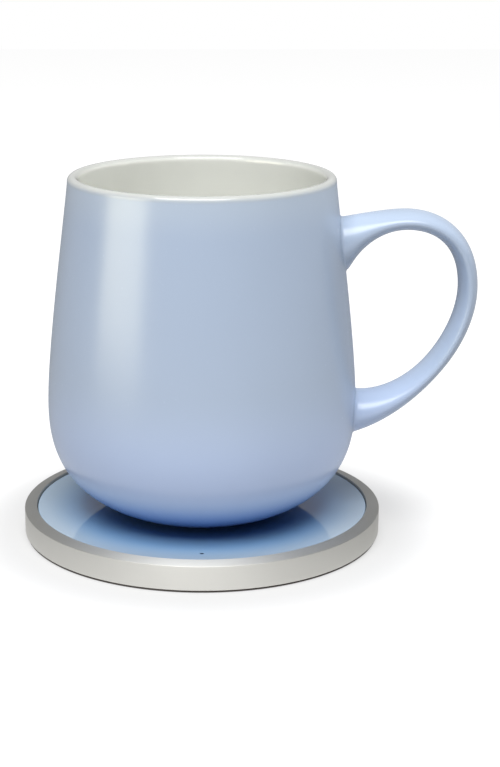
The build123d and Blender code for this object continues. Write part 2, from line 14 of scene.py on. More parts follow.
import bmesh
import bpy
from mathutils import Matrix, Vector


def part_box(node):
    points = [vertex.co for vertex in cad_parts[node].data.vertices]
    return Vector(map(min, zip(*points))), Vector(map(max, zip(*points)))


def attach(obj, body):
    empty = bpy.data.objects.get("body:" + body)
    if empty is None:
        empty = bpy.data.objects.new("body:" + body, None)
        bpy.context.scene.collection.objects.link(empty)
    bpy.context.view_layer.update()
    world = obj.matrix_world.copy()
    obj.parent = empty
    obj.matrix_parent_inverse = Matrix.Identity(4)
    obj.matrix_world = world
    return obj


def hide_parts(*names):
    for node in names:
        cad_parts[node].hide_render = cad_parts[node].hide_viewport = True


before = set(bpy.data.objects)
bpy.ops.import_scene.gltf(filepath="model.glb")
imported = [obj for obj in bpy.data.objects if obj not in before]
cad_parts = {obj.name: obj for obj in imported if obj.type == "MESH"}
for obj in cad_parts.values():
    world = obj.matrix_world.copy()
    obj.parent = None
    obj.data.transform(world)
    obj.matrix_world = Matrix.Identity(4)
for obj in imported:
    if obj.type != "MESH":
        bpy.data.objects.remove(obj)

log = logging.getLogger("mug_warmer")

# A point is a radius and a height, and a corner has its rounding as well. A ring is its outer
# point, its inner point and half of its width.
Pair = tuple[float, float]
Triple = tuple[float, float, float]
Point = Pair
Corner = Triple
Colour = Triple
Ring = tuple[Vector, Vector, float]


class Body(Enum):
    """The two bodies that pieces ride on."""

    BASE = "base"
    MUG = "mug"


class Rays(Enum):
    """What a lamp gives: all of its light, only the matt part, or only the shine."""

    ALL = "all"
    SOFT = "soft"
    SHEEN = "sheen"


class Sum(Enum):
    """Operations of a Math node that finishes use."""

    ADD = "ADD"
    SUBTRACT = "SUBTRACT"
    MULTIPLY = "MULTIPLY"
    DIVIDE = "DIVIDE"
    POWER = "POWER"
    MAXIMUM = "MAXIMUM"
    ABSOLUTE = "ABSOLUTE"
    FRACTION = "FRACT"
    ARCTANGENT = "ARCTAN2"
    LESS = "LESS_THAN"
    GREATER = "GREATER_THAN"


def mm(value: float) -> float:
    """Turn millimetres into metres."""
    return value * 0.001


def screen(red: int, green: int, blue: int) -> Colour:
    """Turn a screen colour into linear light.

    Args:
        red: red, from 0 to 255.
        green: green, from 0 to 255.
        blue: blue, from 0 to 255.

    Returns:
        The colour as a shader takes it.
    """

    def linear(level: int) -> float:
        """Turn one screen level into linear light."""
        share = level / 255
        return share / 12.92 if share <= 0.04045 else ((share + 0.055) / 1.055) ** 2.4

    return linear(red), linear(green), linear(blue)


def grey(level: float) -> Colour:
    """Return a grey, from 0 for black to 1 for white."""
    return level, level, level


def shade(colour: Colour, factor: float) -> Colour:
    """Return a colour made lighter or darker by a factor."""
    return colour[0] * factor, colour[1] * factor, colour[2] * factor


# ------------------------------------------------------------------ shader maths
class Signal:
    """A node's output that takes part in arithmetic."""

    def __init__(self, sheet: "NodeSheet", socket: bpy.types.NodeSocket) -> None:
        """Keep a socket and the sheet that it is on."""
        self.sheet, self.socket = sheet, socket

    def __add__(self, other: "Value") -> "Signal":
        """Add a number."""
        return self.sheet.math(Sum.ADD, self, other)

    def __sub__(self, other: "Value") -> "Signal":
        """Take a number away."""
        return self.sheet.math(Sum.SUBTRACT, self, other)

    def __rsub__(self, other: "Value") -> "Signal":
        """Be taken away from a number."""
        return self.sheet.math(Sum.SUBTRACT, other, self)

    def __mul__(self, other: "Value") -> "Signal":
        """Multiply by a number."""
        return self.sheet.math(Sum.MULTIPLY, self, other)

    def __truediv__(self, other: "Value") -> "Signal":
        """Divide by a number."""
        return self.sheet.math(Sum.DIVIDE, self, other)

    def __pow__(self, other: "Value") -> "Signal":
        """Raise to a power."""
        return self.sheet.math(Sum.POWER, self, other)

    def __lt__(self, other: "Value") -> "Signal":
        """Be 1 where lower than a number, and 0 elsewhere."""
        return self.sheet.math(Sum.LESS, self, other)

    def __gt__(self, other: "Value") -> "Signal":
        """Be 1 where higher than a number, and 0 elsewhere."""
        return self.sheet.math(Sum.GREATER, self, other)

    def __abs__(self) -> "Signal":
        """Drop the sign."""
        return self.sheet.math(Sum.ABSOLUTE, self, 0.0)

    def positive(self) -> "Signal":
        """Be 0 wherever it would be lower."""
        return self.sheet.math(Sum.MAXIMUM, self, 0.0)

    def fraction(self) -> "Signal":
        """Keep what comes after the point, so that a pattern starts anew at each whole number."""
        return self.sheet.math(Sum.FRACTION, self, 0.0)

    __radd__ = __add__
    __rmul__ = __mul__


Value = Signal | float
Sockets = dict[str | int, object]


class NodeSheet:
    """The nodes of one material or of the world."""

    def __init__(self, tree: bpy.types.NodeTree) -> None:
        """Start with an empty tree."""
        self.tree = tree
        tree.nodes.clear()

    def node(
        self,
        kind: str,
        settings: Mapping[str, object] | None = None,
        inputs: Sockets | None = None,
        output: str | int = 0,
    ) -> Signal:
        """Add a node.

        Args:
            kind: the node's type, without the words ShaderNode.
            settings: its settings, which are set first.
            inputs: values or signals for its sockets, by name or number.
            output: the socket to go on from.

        Returns:
            That output, ready for arithmetic.
        """
        made = self.tree.nodes.new(f"ShaderNode{kind}")
        for name, value in (settings or {}).items():
            setattr(made, name, value)
        for name, value in (inputs or {}).items():
            socket = made.inputs[name]
            if isinstance(value, Signal):
                self.tree.links.new(value.socket, socket)
            elif isinstance(value, tuple) and socket.type == "RGBA":
                socket.default_value = (*value, 1.0)
            else:
                socket.default_value = value
        return Signal(self, made.outputs[output])

    def math(self, operation: Sum, first: Value, second: Value) -> Signal:
        """Add a Math node for one operation on two values."""
        return self.node("Math", {"operation": operation.value}, {0: first, 1: second})

    def place(self) -> Signal:
        """Return the place on the piece, in the frame's metres."""
        return self.node("TexCoord", output="Object")

    def along(self, axis: str) -> Signal:
        """Return the place along one axis, in metres."""
        return self.node("SeparateXYZ", inputs={0: self.place()}, output=axis)

    def radius(self) -> Signal:
        """Return the distance from the upright axis, in metres."""
        x, y = self.along("X"), self.along("Y")
        return (x * x + y * y) ** 0.5

    def noise(self, size: float, detail: float = 2.0, stretch: Triple = (1, 1, 1)) -> Signal:
        """Make cloudy noise from 0 to 1.

        Args:
            size: size of its features, in millimetres.
            detail: octaves of finer noise.
            stretch: scale along each axis, where less than 1 stretches it.

        Returns:
            The noise.
        """
        where = self.node("VectorMath", {"operation": "MULTIPLY"}, {0: self.place(), 1: stretch})
        return self.node(
            "TexNoise", inputs={"Vector": where, "Scale": 1 / mm(size), "Detail": detail}
        )

    def cells(self, size: float) -> Signal:
        """Make cells of a size in millimetres, and rise from 0 at the middle of each."""
        return self.node("TexVoronoi", inputs={"Vector": self.place(), "Scale": 1 / mm(size)})

    def rise(self, value: Value, low: float, high: float) -> Signal:
        """Go smoothly from 0 to 1 as a value goes from low to high.

        Args:
            value: the value.
            low: where the result leaves 0.
            high: where it reaches 1.

        Returns:
            The result.
        """
        return self.node(
            "MapRange",
            {"interpolation_type": "SMOOTHSTEP"},
            {"Value": value, "From Min": low, "From Max": high},
        )

    # A Mix node's sockets 2 and 3 are its two numbers, and 6 and 7 its two colours.
    def span(self, share: Value, low: Value, high: Value) -> Signal:
        """Go from a low value to a high one as share goes from 0 to 1."""
        return self.node("Mix", {"data_type": "FLOAT"}, {0: share, 2: low, 3: high})

    def blend(self, share: Value, first: Signal | Colour, second: Signal | Colour) -> Signal:
        """Go from a first colour to a second as share goes from 0 to 1."""
        return self.node("Mix", {"data_type": "RGBA"}, {0: share, 6: first, 7: second}, 2)

    def relief(self, height: Value, depth: float, below: Signal | None = None) -> Signal:
        """Turn a height into a surface normal.

        Args:
            height: height from 0 to 1.
            depth: what 1 stands for, in millimetres.
            below: the normal to build on.

        Returns:
            The normal.
        """
        inputs: Sockets = {"Height": height, "Distance": mm(depth)}
        if below is not None:
            inputs["Normal"] = below
        return self.node("Bump", inputs=inputs)

    def end(self, kind: str, shader: Signal) -> None:
        """Feed a shader to the output of a material or of the world."""
        end = self.tree.nodes.new(f"ShaderNodeOutput{kind}")
        self.tree.links.new(shader.socket, end.inputs["Surface"])


# ------------------------------------------------------------------ finishes
@dataclass(frozen=True)
class Finish:
    """What all finishes share: a name, a main colour and a roughness.

    In a finish's pattern, sizes and depths are in millimetres.
    """

    name: str
    colour: Colour
    roughness: float

    def material(self) -> bpy.types.Material:
        """Make the finish's material.

        Returns:
            The material.
        """
        made = bpy.data.materials.new(self.name)
        made.use_nodes = True
        sheet = NodeSheet(made.node_tree)
        sheet.end("Material", sheet.node("BsdfPrincipled", inputs=self.sockets(sheet)))
        return made

    def sockets(self, sheet: NodeSheet) -> Sockets:
        """Return what the surface's sockets take."""
        raise NotImplementedError

    def drift(self, sheet: NodeSheet, size: float, spread: float) -> Signal:
        """Return the main colour with a slow drift in its depth."""
        low, high = shade(self.colour, 1 - spread), shade(self.colour, 1 + spread)
        return sheet.blend(sheet.noise(size), low, high)


@dataclass(frozen=True)
class BlastedMetal(Finish):
    """Bare metal with a fine blasted, brushed or turned grain."""

    grain: float = 0.28
    depth: float = 0.004
    brushing: Triple = (1, 1, 1)
    turning: float = 0.0

    def sockets(self, sheet: NodeSheet) -> Sockets:
        """Work out what the surface's sockets take.

        Args:
            sheet: the material's sheet.

        Returns:
            Their values and signals, by socket.
        """
        grain = sheet.noise(self.grain, 3, self.brushing)
        worn = grain * 0.6 + sheet.noise(9, 2) * 0.4
        return {
            "Base Color": self.drift(sheet, 6, 0.02),
            "Metallic": 1.0,
            "Roughness": sheet.span(worn, self.roughness - 0.05, self.roughness + 0.05),
            "Anisotropic": self.turning,
            "Anisotropic Rotation": 0.25,
            "Normal": sheet.relief(grain, self.depth),
        }


@dataclass(frozen=True)
class SatinGlaze(Finish):
    """The mug's satin outer coat, with its white lip and the bare clay of its foot.

    From the foot up, the coat goes from a painted shade just above the foot, through a painted
    bounce light on the lower belly and the main colour, to a painted light towards the rim. Each
    start, end and height is a height above the table.
    """

    # the lip is the white glaze painted darker: painted shade against the strong light on its
    # crest
    shaded_lip_colour: Colour
    clay_colour: Colour
    lip_start: float
    lip_end: float
    foot_start: float
    foot_end: float
    # painted shade: a deep blue band just above the foot, where the underside is shaded
    painted_shade_colour: Colour
    # painted bounce light: a paler, bluer lower belly, for light from the dish and the floor
    painted_bounce_colour: Colour
    # painted light: the coat turns paler and greyer towards the rim
    painted_top_light_colour: Colour
    painted_shade_start: float
    painted_bounce_height: float
    plain_height: float
    painted_top_light_start: float
    painted_top_light_end: float
    lip_roughness: float = 0.12
    clay_roughness: float = 0.85
    waver: float = 0.35

    def sockets(self, sheet: NodeSheet) -> Sockets:
        """Work out what the surface's sockets take.

        Args:
            sheet: the material's sheet.

        Returns:
            Their values and signals, by socket.
        """
        height = sheet.along("Z")
        waver = (sheet.noise(2.4, 2) - 0.5) * mm(self.waver)
        lip = sheet.rise(height + waver, mm(self.lip_start), mm(self.lip_end))
        bare = 1 - sheet.rise(height + waver * 0.1, mm(self.foot_start), mm(self.foot_end))
        # next three masks: painted bounce light on the lower belly, painted shade just above the
        # foot, and painted light towards the rim
        low = sheet.rise(height, mm(self.painted_bounce_height), mm(self.plain_height))
        painted_shade_mask = sheet.rise(height, mm(self.painted_shade_start), mm(self.painted_bounce_height))
        rim = sheet.rise(height, mm(self.painted_top_light_start), mm(self.painted_top_light_end))
        plain = sheet.blend(low, self.painted_bounce_colour, self.drift(sheet, 24, 0.015))
        plain = sheet.blend(painted_shade_mask, self.painted_shade_colour, plain)
        plain = sheet.blend(rim, plain, self.painted_top_light_colour)
        fine = sheet.noise(0.5, 2)
        coat = sheet.blend(fine * 0.05, plain, shade(self.colour, 1.25))
        clay = sheet.blend(sheet.noise(0.6, 4), shade(self.clay_colour, 0.86), self.clay_colour)
        satin = sheet.span(lip, self.roughness + (fine - 0.5) * 0.06, self.lip_roughness)
        return {
            "Base Color": sheet.blend(bare, sheet.blend(lip, coat, self.shaded_lip_colour), clay),
            "Roughness": sheet.span(bare, satin, self.clay_roughness),
            "Normal": sheet.relief(fine, 0.003, sheet.relief(sheet.noise(5, 1), 0.03)),
        }


@dataclass(frozen=True)
class GlossGlaze(Finish):
    """A clear, glossy glaze over a coloured body, which changes its colour towards an edge.

    The change towards the edge is painted light and shade. The edge's start and end are
    distances from the upright axis, or heights if upwards.
    """

    painted_shading_colour: Colour
    painted_shading_start: float
    painted_shading_end: float
    upwards: bool = False
    body_roughness: float = 0.4

    def sockets(self, sheet: NodeSheet) -> Sockets:
        """Work out what the surface's sockets take.

        Args:
            sheet: the material's sheet.

        Returns:
            Their values and signals, by socket.
        """
        way = sheet.along("Z") if self.upwards else sheet.radius()
        # this mask brings in the painted light and shade towards the edge
        edge = sheet.rise(way, mm(self.painted_shading_start), mm(self.painted_shading_end))
        low, high = self.body_roughness - 0.03, self.body_roughness + 0.03
        return {
            "Base Color": sheet.blend(edge, self.drift(sheet, 16, 0.02), self.painted_shading_colour),
            "Roughness": sheet.span(sheet.noise(7, 3), low, high),
            "Specular IOR Level": 0.05,
            "Coat Weight": 1.0,
            "Coat Roughness": self.roughness,
            "Normal": sheet.relief(sheet.noise(6, 1), 0.02),
        }


@dataclass(frozen=True)
class Moulded(Finish):
    """Moulded plastic, rubber or silicone, with the texture that its mould leaves."""

    texture: float = 0.4
    depth: float = 0.006

    def sockets(self, sheet: NodeSheet) -> Sockets:
        """Work out what the surface's sockets take.

        Args:
            sheet: the material's sheet.

        Returns:
            Their values and signals, by socket.
        """
        texture = sheet.noise(self.texture, 3)
        return {
            "Base Color": self.drift(sheet, 5, 0.08),
            "Roughness": sheet.span(texture, self.roughness - 0.07, self.roughness + 0.07),
            "Normal": sheet.relief(texture, self.depth),
        }


@dataclass(frozen=True)
class Foamed(Finish):
    """Closed-cell foam."""

    cell: float = 0.35

    def sockets(self, sheet: NodeSheet) -> Sockets:
        """Work out what the surface's sockets take.

        Args:
            sheet: the material's sheet.

        Returns:
            Their values and signals, by socket.
        """
        cell = sheet.cells(self.cell)
        return {
            # each cell is painted darker towards its sunken middle: painted shade in its hollow
            "Base Color": sheet.blend(cell, shade(self.colour, 0.6), self.colour),
            "Roughness": sheet.span(cell, self.roughness - 0.05, self.roughness),
            "Normal": sheet.relief(cell, 0.05),
        }


@dataclass(frozen=True)
class Sintered(Finish):
    """Pressed and fired powder, such as ferrite, with pale specks."""

    speck: float = 0.25

    def sockets(self, sheet: NodeSheet) -> Sockets:
        """Work out what the surface's sockets take.

        Args:
            sheet: the material's sheet.

        Returns:
            Their values and signals, by socket.
        """
        speck = sheet.rise(sheet.noise(self.speck, 2), 0.6, 0.75)
        return {
            "Base Color": sheet.blend(speck, self.drift(sheet, 4, 0.1), shade(self.colour, 2.2)),
            "Roughness": sheet.span(speck, self.roughness, self.roughness - 0.2),
            "Normal": sheet.relief(sheet.noise(0.5, 3), 0.01),
        }


@dataclass(frozen=True)
class EnamelledWire(Finish):
    """Copper wire under clear enamel, with its strands side by side."""

    strand: float = 0.3

    def sockets(self, sheet: NodeSheet) -> Sockets:
        """Work out what the surface's sockets take.

        Args:
            sheet: the material's sheet.

        Returns:
            Their values and signals, by socket.
        """
        strand = abs((sheet.radius() / mm(self.strand)).fraction() - 0.5) * 2
        # the copper is painted darker between the strands: painted shade in the grooves where
        # they meet
        dark = shade(self.colour, 0.7)
        return {
            "Base Color": sheet.blend(strand, self.drift(sheet, 3, 0.08), dark),
            "Metallic": 1.0,
            "Roughness": sheet.span(strand, self.roughness - 0.05, self.roughness + 0.1),
            "Normal": sheet.relief(1 - strand**2, 0.03),
        }


@dataclass(frozen=True)
class CappedChip(Finish):
    """Ceramic components in a ring, with tinned ends nearest to and furthest from its middle."""

    circle: float
    length: float
    cap: float
    cap_edge: float = 0.05
    tin_colour: Colour = screen(205, 203, 198)

    def sockets(self, sheet: NodeSheet) -> Sockets:
        """Work out what the surface's sockets take.

        Args:
            sheet: the material's sheet.

        Returns:
            Their values and signals, by socket.
        """
        reach = abs(sheet.radius() - mm(self.circle))
        start = self.length / 2 - self.cap
        cap = sheet.rise(reach, mm(start), mm(start + self.cap_edge))
        return {
            "Base Color": sheet.blend(cap, self.drift(sheet, 1.5, 0.08), self.tin_colour),
            "Metallic": cap,
            "Roughness": sheet.span(cap, self.roughness, 0.3),
            "Normal": sheet.relief(sheet.noise(0.3, 2), 0.006),
        }


@dataclass(frozen=True)
class Laminate(Finish):
    """Circuit board: lacquer over copper tracks that run around and across it."""

    track_colour: Colour = (0.02, 0.16, 0.11)
    pitch: float = 0.9
    spokes_per_radian: float = 15.0
    turned: float = 50.0
    region: float = 6.0

    def sockets(self, sheet: NodeSheet) -> Sockets:
        """Work out what the surface's sockets take.

        Args:
            sheet: the material's sheet.

        Returns:
            Their values and signals, by socket.
        """
        angle = sheet.math(Sum.ARCTANGENT, sheet.along("Y"), sheet.along("X"))
        around = (sheet.radius() / mm(self.pitch)).fraction() < 0.4
        across = (angle * self.spokes_per_radian + self.turned).fraction() < 0.22
        track = sheet.span(sheet.noise(self.region, 0) > 0.5, around, across)
        return {
            "Base Color": sheet.blend(track, self.drift(sheet, 4, 0.1), self.track_colour),
            "Roughness": sheet.span(track, self.roughness + 0.08, self.roughness),
            "Normal": sheet.relief(track, 0.02),
        }


@dataclass(frozen=True)
class TrackedFilm(Finish):
    """Thin amber film with metal tracks in rings, or in lines along X."""

    pitch: float
    rings: bool
    track_colour: Colour = (0.75, 0.42, 0.2)
    track_share: float = 0.6

    def sockets(self, sheet: NodeSheet) -> Sockets:
        """Work out what the surface's sockets take.

        Args:
            sheet: the material's sheet.

        Returns:
            Their values and signals, by socket.
        """
        across = sheet.radius() if self.rings else sheet.along("Y")
        track = (across / mm(self.pitch)).fraction() < self.track_share
        return {
            "Base Color": sheet.blend(track, self.drift(sheet, 3, 0.08), self.track_colour),
            "Metallic": track * 0.8,
            "Roughness": sheet.span(track, self.roughness, self.roughness + 0.1),
            "Normal": sheet.relief(track, 0.02),
        }


@dataclass(frozen=True)
class ContactPlastic(Finish):
    """Black plastic tongue with a row of gold contacts on each of its flat faces."""

    pitch: float = 0.5
    row: float = 5.6
    start: float = 46.6
    contact_share: float = 0.56
    gold_colour: Colour = screen(226, 184, 104)

    def sockets(self, sheet: NodeSheet) -> Sockets:
        """Work out what the surface's sockets take.

        Args:
            sheet: the material's sheet.

        Returns:
            Their values and signals, by socket.
        """
        x = sheet.along("X")
        stripe = abs((x / mm(self.pitch) + 0.5).fraction() - 0.5) < self.contact_share / 2
        contact = stripe * (abs(x) < mm(self.row / 2)) * (sheet.along("Y") > mm(self.start))
        return {
            "Base Color": sheet.blend(contact, self.drift(sheet, 2, 0.1), self.gold_colour),
            "Metallic": contact,
            "Roughness": sheet.span(contact, self.roughness, 0.25),
            "Normal": sheet.relief(contact, 0.03),
        }


@dataclass(frozen=True)
class LampPackage(Finish):
    """White package of the indicator light, with a yellow lens in its top."""

    middle: float
    lens_radius: float = 0.35
    lens_edge: float = 0.03
    lens_colour: Colour = screen(236, 206, 92)

    def sockets(self, sheet: NodeSheet) -> Sockets:
        """Work out what the surface's sockets take.

        Args:
            sheet: the material's sheet.

        Returns:
            Their values and signals, by socket.
        """
        x, y = sheet.along("X"), sheet.along("Y") + mm(self.middle)
        start, end = self.lens_radius - self.lens_edge, self.lens_radius + self.lens_edge
        lens = 1 - sheet.rise((x * x + y * y) ** 0.5, mm(start), mm(end))
        return {
            "Base Color": sheet.blend(lens, self.drift(sheet, 1, 0.03), self.lens_colour),
            "Roughness": sheet.span(lens, self.roughness, 0.12),
            "Normal": sheet.relief(lens, 0.04),
        }


@dataclass(frozen=True)
class SmokedClear(Finish):
    """Smoked clear plastic, dark until the light is on."""

    def sockets(self, sheet: NodeSheet) -> Sockets:
        """Work out what the surface's sockets take.

        Args:
            sheet: the material's sheet.

        Returns:
            Their values and signals, by socket.
        """
        return {
            "Base Color": self.drift(sheet, 0.6, 0.15),
            "Roughness": sheet.span(sheet.noise(0.3, 1), self.roughness, self.roughness + 0.06),
            "Transmission Weight": 0.35,
            "Normal": sheet.relief(sheet.noise(0.8, 1), 0.004),
        }


# ------------------------------------------------------------------ outlines
def rounded(corners: Sequence[Corner], cuts: int) -> list[Point]:
    """Draw a line through corners and round each to its own radius.

    Args:
        corners: radius from the axis, height and rounding of each corner, in millimetres.
        cuts: segments in each rounding.

    Returns:
        The line's points.
    """
    points: list[Point] = []
    for index, (radius, height, rounding) in enumerate(corners):
        here = Vector((radius, height))
        if rounding == 0:
            points.append((radius, height))
            continue
        back = (Vector(corners[index - 1][:2]) - here).normalized()
        ahead = (Vector(corners[index + 1][:2]) - here).normalized()
        half = back.angle(ahead) / 2
        centre = here + (back + ahead).normalized() * rounding / math.sin(half)
        start = here + back * rounding / math.tan(half) - centre
        end = here + ahead * rounding / math.tan(half) - centre
        turn = math.atan2(start.x * end.y - start.y * end.x, start.dot(end))
        for cut in range(cuts + 1):
            angle = turn * cut / cuts
            points.append(
                (
                    centre.x + start.x * math.cos(angle) - start.y * math.sin(angle),
                    centre.y + start.x * math.sin(angle) + start.y * math.cos(angle),
                )
            )
    return points


def swept(start: Point, pull: Point, push: Point, end: Point, cuts: int) -> list[Point]:
    """Draw a cubic curve.

    Args:
        start: its first point.
        pull: the handle that it leaves towards.
        push: the handle that it arrives from.
        end: its last point.
        cuts: segments in it.

    Returns:
        The curve's points, both ends included.
    """
    points = []
    for cut in range(cuts + 1):
        t = cut / cuts
        shares = ((1 - t) ** 3, 3 * t * (1 - t) ** 2, 3 * t * t * (1 - t), t**3)
        four = (start, pull, push, end)
        points.append(
            (
                sum(share * point[0] for share, point in zip(shares, four)),
                sum(share * point[1] for share, point in zip(shares, four)),
            )
        )
    return points


@dataclass
class Line:
    """A line of many short steps, read by the share of its length."""

    places: Sequence[Vector]
    shares: list[float] = field(init=False)

    def __post_init__(self) -> None:
        """Work out each place's share of the length."""
        run = [0.0]
        for before, after in zip(self.places, self.places[1:]):
            run.append(run[-1] + (after - before).length)
        self.shares = [length / run[-1] for length in run]

    def at(self, share: float) -> tuple[Vector, Vector]:
        """Read the line.

        Args:
            share: share of its length.

        Returns:
            The place and the direction there.
        """
        last = len(self.places) - 1
        index = next((i for i, run in enumerate(self.shares) if i and run >= share), last)
        before, after = self.shares[index - 1], self.shares[index]
        step = self.places[index] - self.places[index - 1]
        place = self.places[index - 1] + step * ((share - before) / (after - before))
        low, high = max(0, index - 2), min(last, index + 1)
        return place, (self.places[high] - self.places[low]).normalized()


# ------------------------------------------------------------------ the bench
class Piece:
    """A mesh on the bench, shaped in edit mode with the modelling operators.

    Points that are within merge_within of each other, in millimetres, are merged when it closes.
    """

    merge_within: float = 0.0005

    def __init__(self, name: str) -> None:
        """Put down a tiny plane and merge it into one point at the origin.

        Args:
            name: the piece's name.
        """
        self.clear_bench()
        bpy.ops.mesh.primitive_plane_add(size=mm(1), location=(0, 0, 0))
        self.object = bpy.context.active_object
        self.object.name = self.object.data.name = name
        bpy.ops.object.mode_set(mode="EDIT")
        bpy.ops.mesh.select_mode(type="VERT")
        bpy.ops.mesh.select_all(action="SELECT")
        bpy.ops.mesh.merge(type="CENTER")

    def turn(self, outline: Sequence[Point], steps: int) -> "Piece":
        """Draw an outline from the piece's one point and spin it around the upright axis.

        Args:
            outline: radius and height of each point, in millimetres.
            steps: segments around.

        Returns:
            The piece.
        """
        bpy.ops.transform.translate(value=(mm(outline[0][0]), 0, mm(outline[0][1])))
        for before, after in zip(outline, outline[1:]):
            move = (mm(after[0] - before[0]), 0, mm(after[1] - before[1]))
            bpy.ops.mesh.extrude_region_move(TRANSFORM_OT_translate={"value": move})
        bpy.ops.mesh.select_all(action="SELECT")
        bpy.ops.mesh.spin(
            steps=steps, angle=math.tau, center=(0, 0, 0), axis=(0, 0, 1), use_auto_merge=True
        )
        self.close()
        return self

    def empty(self) -> "Piece":
        """Take the piece's points away.

        Returns:
            The piece.
        """
        bpy.ops.mesh.select_all(action="SELECT")
        bpy.ops.mesh.delete(type="VERT")
        return self

    def close(self) -> None:
        """Merge what meets and turn every face outwards."""
        bpy.ops.mesh.select_all(action="SELECT")
        bpy.ops.mesh.remove_doubles(threshold=mm(self.merge_within))
        bpy.ops.mesh.normals_make_consistent(inside=False)

    def move(self, x: float, y: float, z: float) -> "Piece":
        """Move the whole piece.

        Args:
            x: millimetres to the right.
            y: millimetres to the back.
            z: millimetres up.

        Returns:
            The piece.
        """
        bpy.ops.mesh.select_all(action="SELECT")
        bpy.ops.transform.translate(value=(mm(x), mm(y), mm(z)))
        return self

    def pick_edges(self, wanted: Callable[[bmesh.types.BMEdge], bool]) -> None:
        """Select edges.

        Args:
            wanted: the test that an edge passes.
        """
        bpy.ops.mesh.select_mode(type="EDGE")
        bpy.ops.mesh.select_all(action="DESELECT")
        mesh = bmesh.from_edit_mesh(self.object.data)
        mesh.verts.index_update()
        for edge in mesh.edges:
            edge.select_set(wanted(edge))
        bmesh.update_edit_mesh(self.object.data)

    def modify(self, kind: str, settings: Mapping[str, object]) -> "Piece":
        """Add a modifier, set it and apply it.

        Args:
            kind: the modifier's type.
            settings: its settings.

        Returns:
            The piece.
        """
        self.take()
        bpy.ops.object.modifier_add(type=kind)
        modifier = self.object.modifiers[-1]
        for name, value in settings.items():
            setattr(modifier, name, value)
        bpy.ops.object.modifier_apply(modifier=modifier.name)
        return self

    @staticmethod
    def clear_bench() -> None:
        """Leave edit mode with nothing selected."""
        if bpy.context.mode != "OBJECT":
            bpy.ops.object.mode_set(mode="OBJECT")
        bpy.ops.object.select_all(action="DESELECT")

    def take(self) -> None:
        """Leave edit mode with only this piece selected."""
        self.clear_bench()
        self.object.select_set(True)
        bpy.context.view_layer.objects.active = self.object

    def cut(self, tool: "Piece") -> "Piece":
        """Cut another piece's shape out of this one, and throw that piece away.

        Args:
            tool: the other piece.

        Returns:
            The piece.
        """
        tool.take()
        self.modify(
            "BOOLEAN", {"operation": "DIFFERENCE", "object": tool.object, "solver": "EXACT"}
        )
        bpy.data.objects.remove(tool.object)
        return self

    def smooth(self, degrees: float = 30) -> "Piece":
        """Shade the piece smooth, except across sharp edges.

        Args:
            degrees: the angle from which an edge is sharp.

        Returns:
            The piece.
        """
        self.take()
        bpy.ops.object.shade_smooth_by_angle(angle=math.radians(degrees))
        return self

    def dress(self, body: Body, slot: str, nodes: Sequence[str], *finishes: Finish) -> None:
        """Give the piece its finishes and its place in the frame.

        Args:
            body: the body that it rides on.
            slot: the record's material slot; not used.
            nodes: the nodes that it stands for.
            finishes: its materials, in order.
        """
        self.take()
        self.object.data.materials.clear()
        for finish in finishes:
            self.object.data.materials.append(finish.material())
        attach(self.object, body.value)
        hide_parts(*nodes)
        log.info("%s: %d faces, for %s", self.object.name, len(self.object.data.polygons), nodes)


# ------------------------------------------------------------------ the warming base
SATIN_ALUMINIUM = BlastedMetal("satin_aluminium", (0.635, 0.63, 0.60), 0.62, turning=0.6)
# The dish is painted deeper blue within, as painted shade under the mug, and paler towards its
# edge, as a painted reflection.
DISH_GLAZE = GlossGlaze(
    "dish_glaze", (0.255, 0.465, 0.715), 0.03, (0.385, 0.495, 0.60), 34.0, 47.0
)
FOOT_RUBBER = Moulded("foot_rubber", screen(70, 63, 58), 0.7, 0.5, 0.012)
SMOKED_PLASTIC = SmokedClear("smoked_plastic", screen(40, 44, 52), 0.12)


@dataclass
class BezelRing:
    """The metal ring around the base: upright side, wide bevelled top and the socket's slot."""

    radius: float = 52.0
    wall: float = 2.2
    lip_width: float = 1.4
    lip: float = 1.2
    bottom: float = 0.6
    corner: float = 7.6
    top: float = 8.4
    foot_chamfer: float = 0.3
    foot_round: float = 0.1
    chamfer_round: float = 0.2
    corner_round: float = 0.2
    edge_round: float = 0.15
    edge_drop: float = 0.03
    lip_round: float = 0.1
    port_clearance: float = 0.05
    port_tool_length: float = 8.0
    port_cuts: int = 12
    steps: int = 256

    def outline(self) -> list[Point]:
        """Draw the ring's section.

        Returns:
            Its points, from the inside of its foot round the outside.
        """
        inner = self.radius - self.wall
        bore = inner - self.lip_width
        return rounded(
            [
                (inner, self.bottom, 0),
                (self.radius - self.foot_chamfer, self.bottom, self.foot_round),
                (self.radius, self.bottom + self.foot_chamfer, self.chamfer_round),
                (self.radius, self.corner, self.corner_round),
                (bore, self.top - self.edge_drop, self.edge_round),
                (bore, self.top - self.lip, self.lip_round),
                (inner, self.top - self.lip, 0),
                (inner, self.bottom, 0),
            ],
            cuts=4,
        )

    def port_tool(self) -> Piece:
        """Make the tool that cuts the socket's slot.

        Returns:
            A bar along Y with round sides.
        """

        def along_y(edge: bmesh.types.BMEdge) -> bool:
            """Tell whether an edge runs along Y."""
            step = edge.verts[0].co - edge.verts[1].co
            return abs(step.x) + abs(step.z) < mm(0.01)

        low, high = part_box("port_liner")
        width = high.x - low.x + mm(2 * self.port_clearance)
        height = high.z - low.z + mm(2 * self.port_clearance)
        tool = Piece("port_tool").empty()
        bpy.ops.mesh.primitive_cube_add(
            size=1,
            location=(0, mm(self.radius), (low.z + high.z) / 2),
            scale=(width, mm(self.port_tool_length), height),
        )
        tool.pick_edges(along_y)
        # just short of half the height, so that the rounds of a side stay apart
        offset = height / 2 - mm(0.001)
        bpy.ops.mesh.bevel(offset=offset, segments=self.port_cuts, affect="EDGES")
        tool.close()
        return tool

    def build(self) -> None:
        """Turn the ring, cut its slot and dress it."""
        ring = Piece("turned_ring").turn(self.outline(), self.steps)
        ring.cut(self.port_tool()).smooth(24)
        ring.dress(Body.BASE, "satin_aluminium", ["bezel_ring"], SATIN_ALUMINIUM)


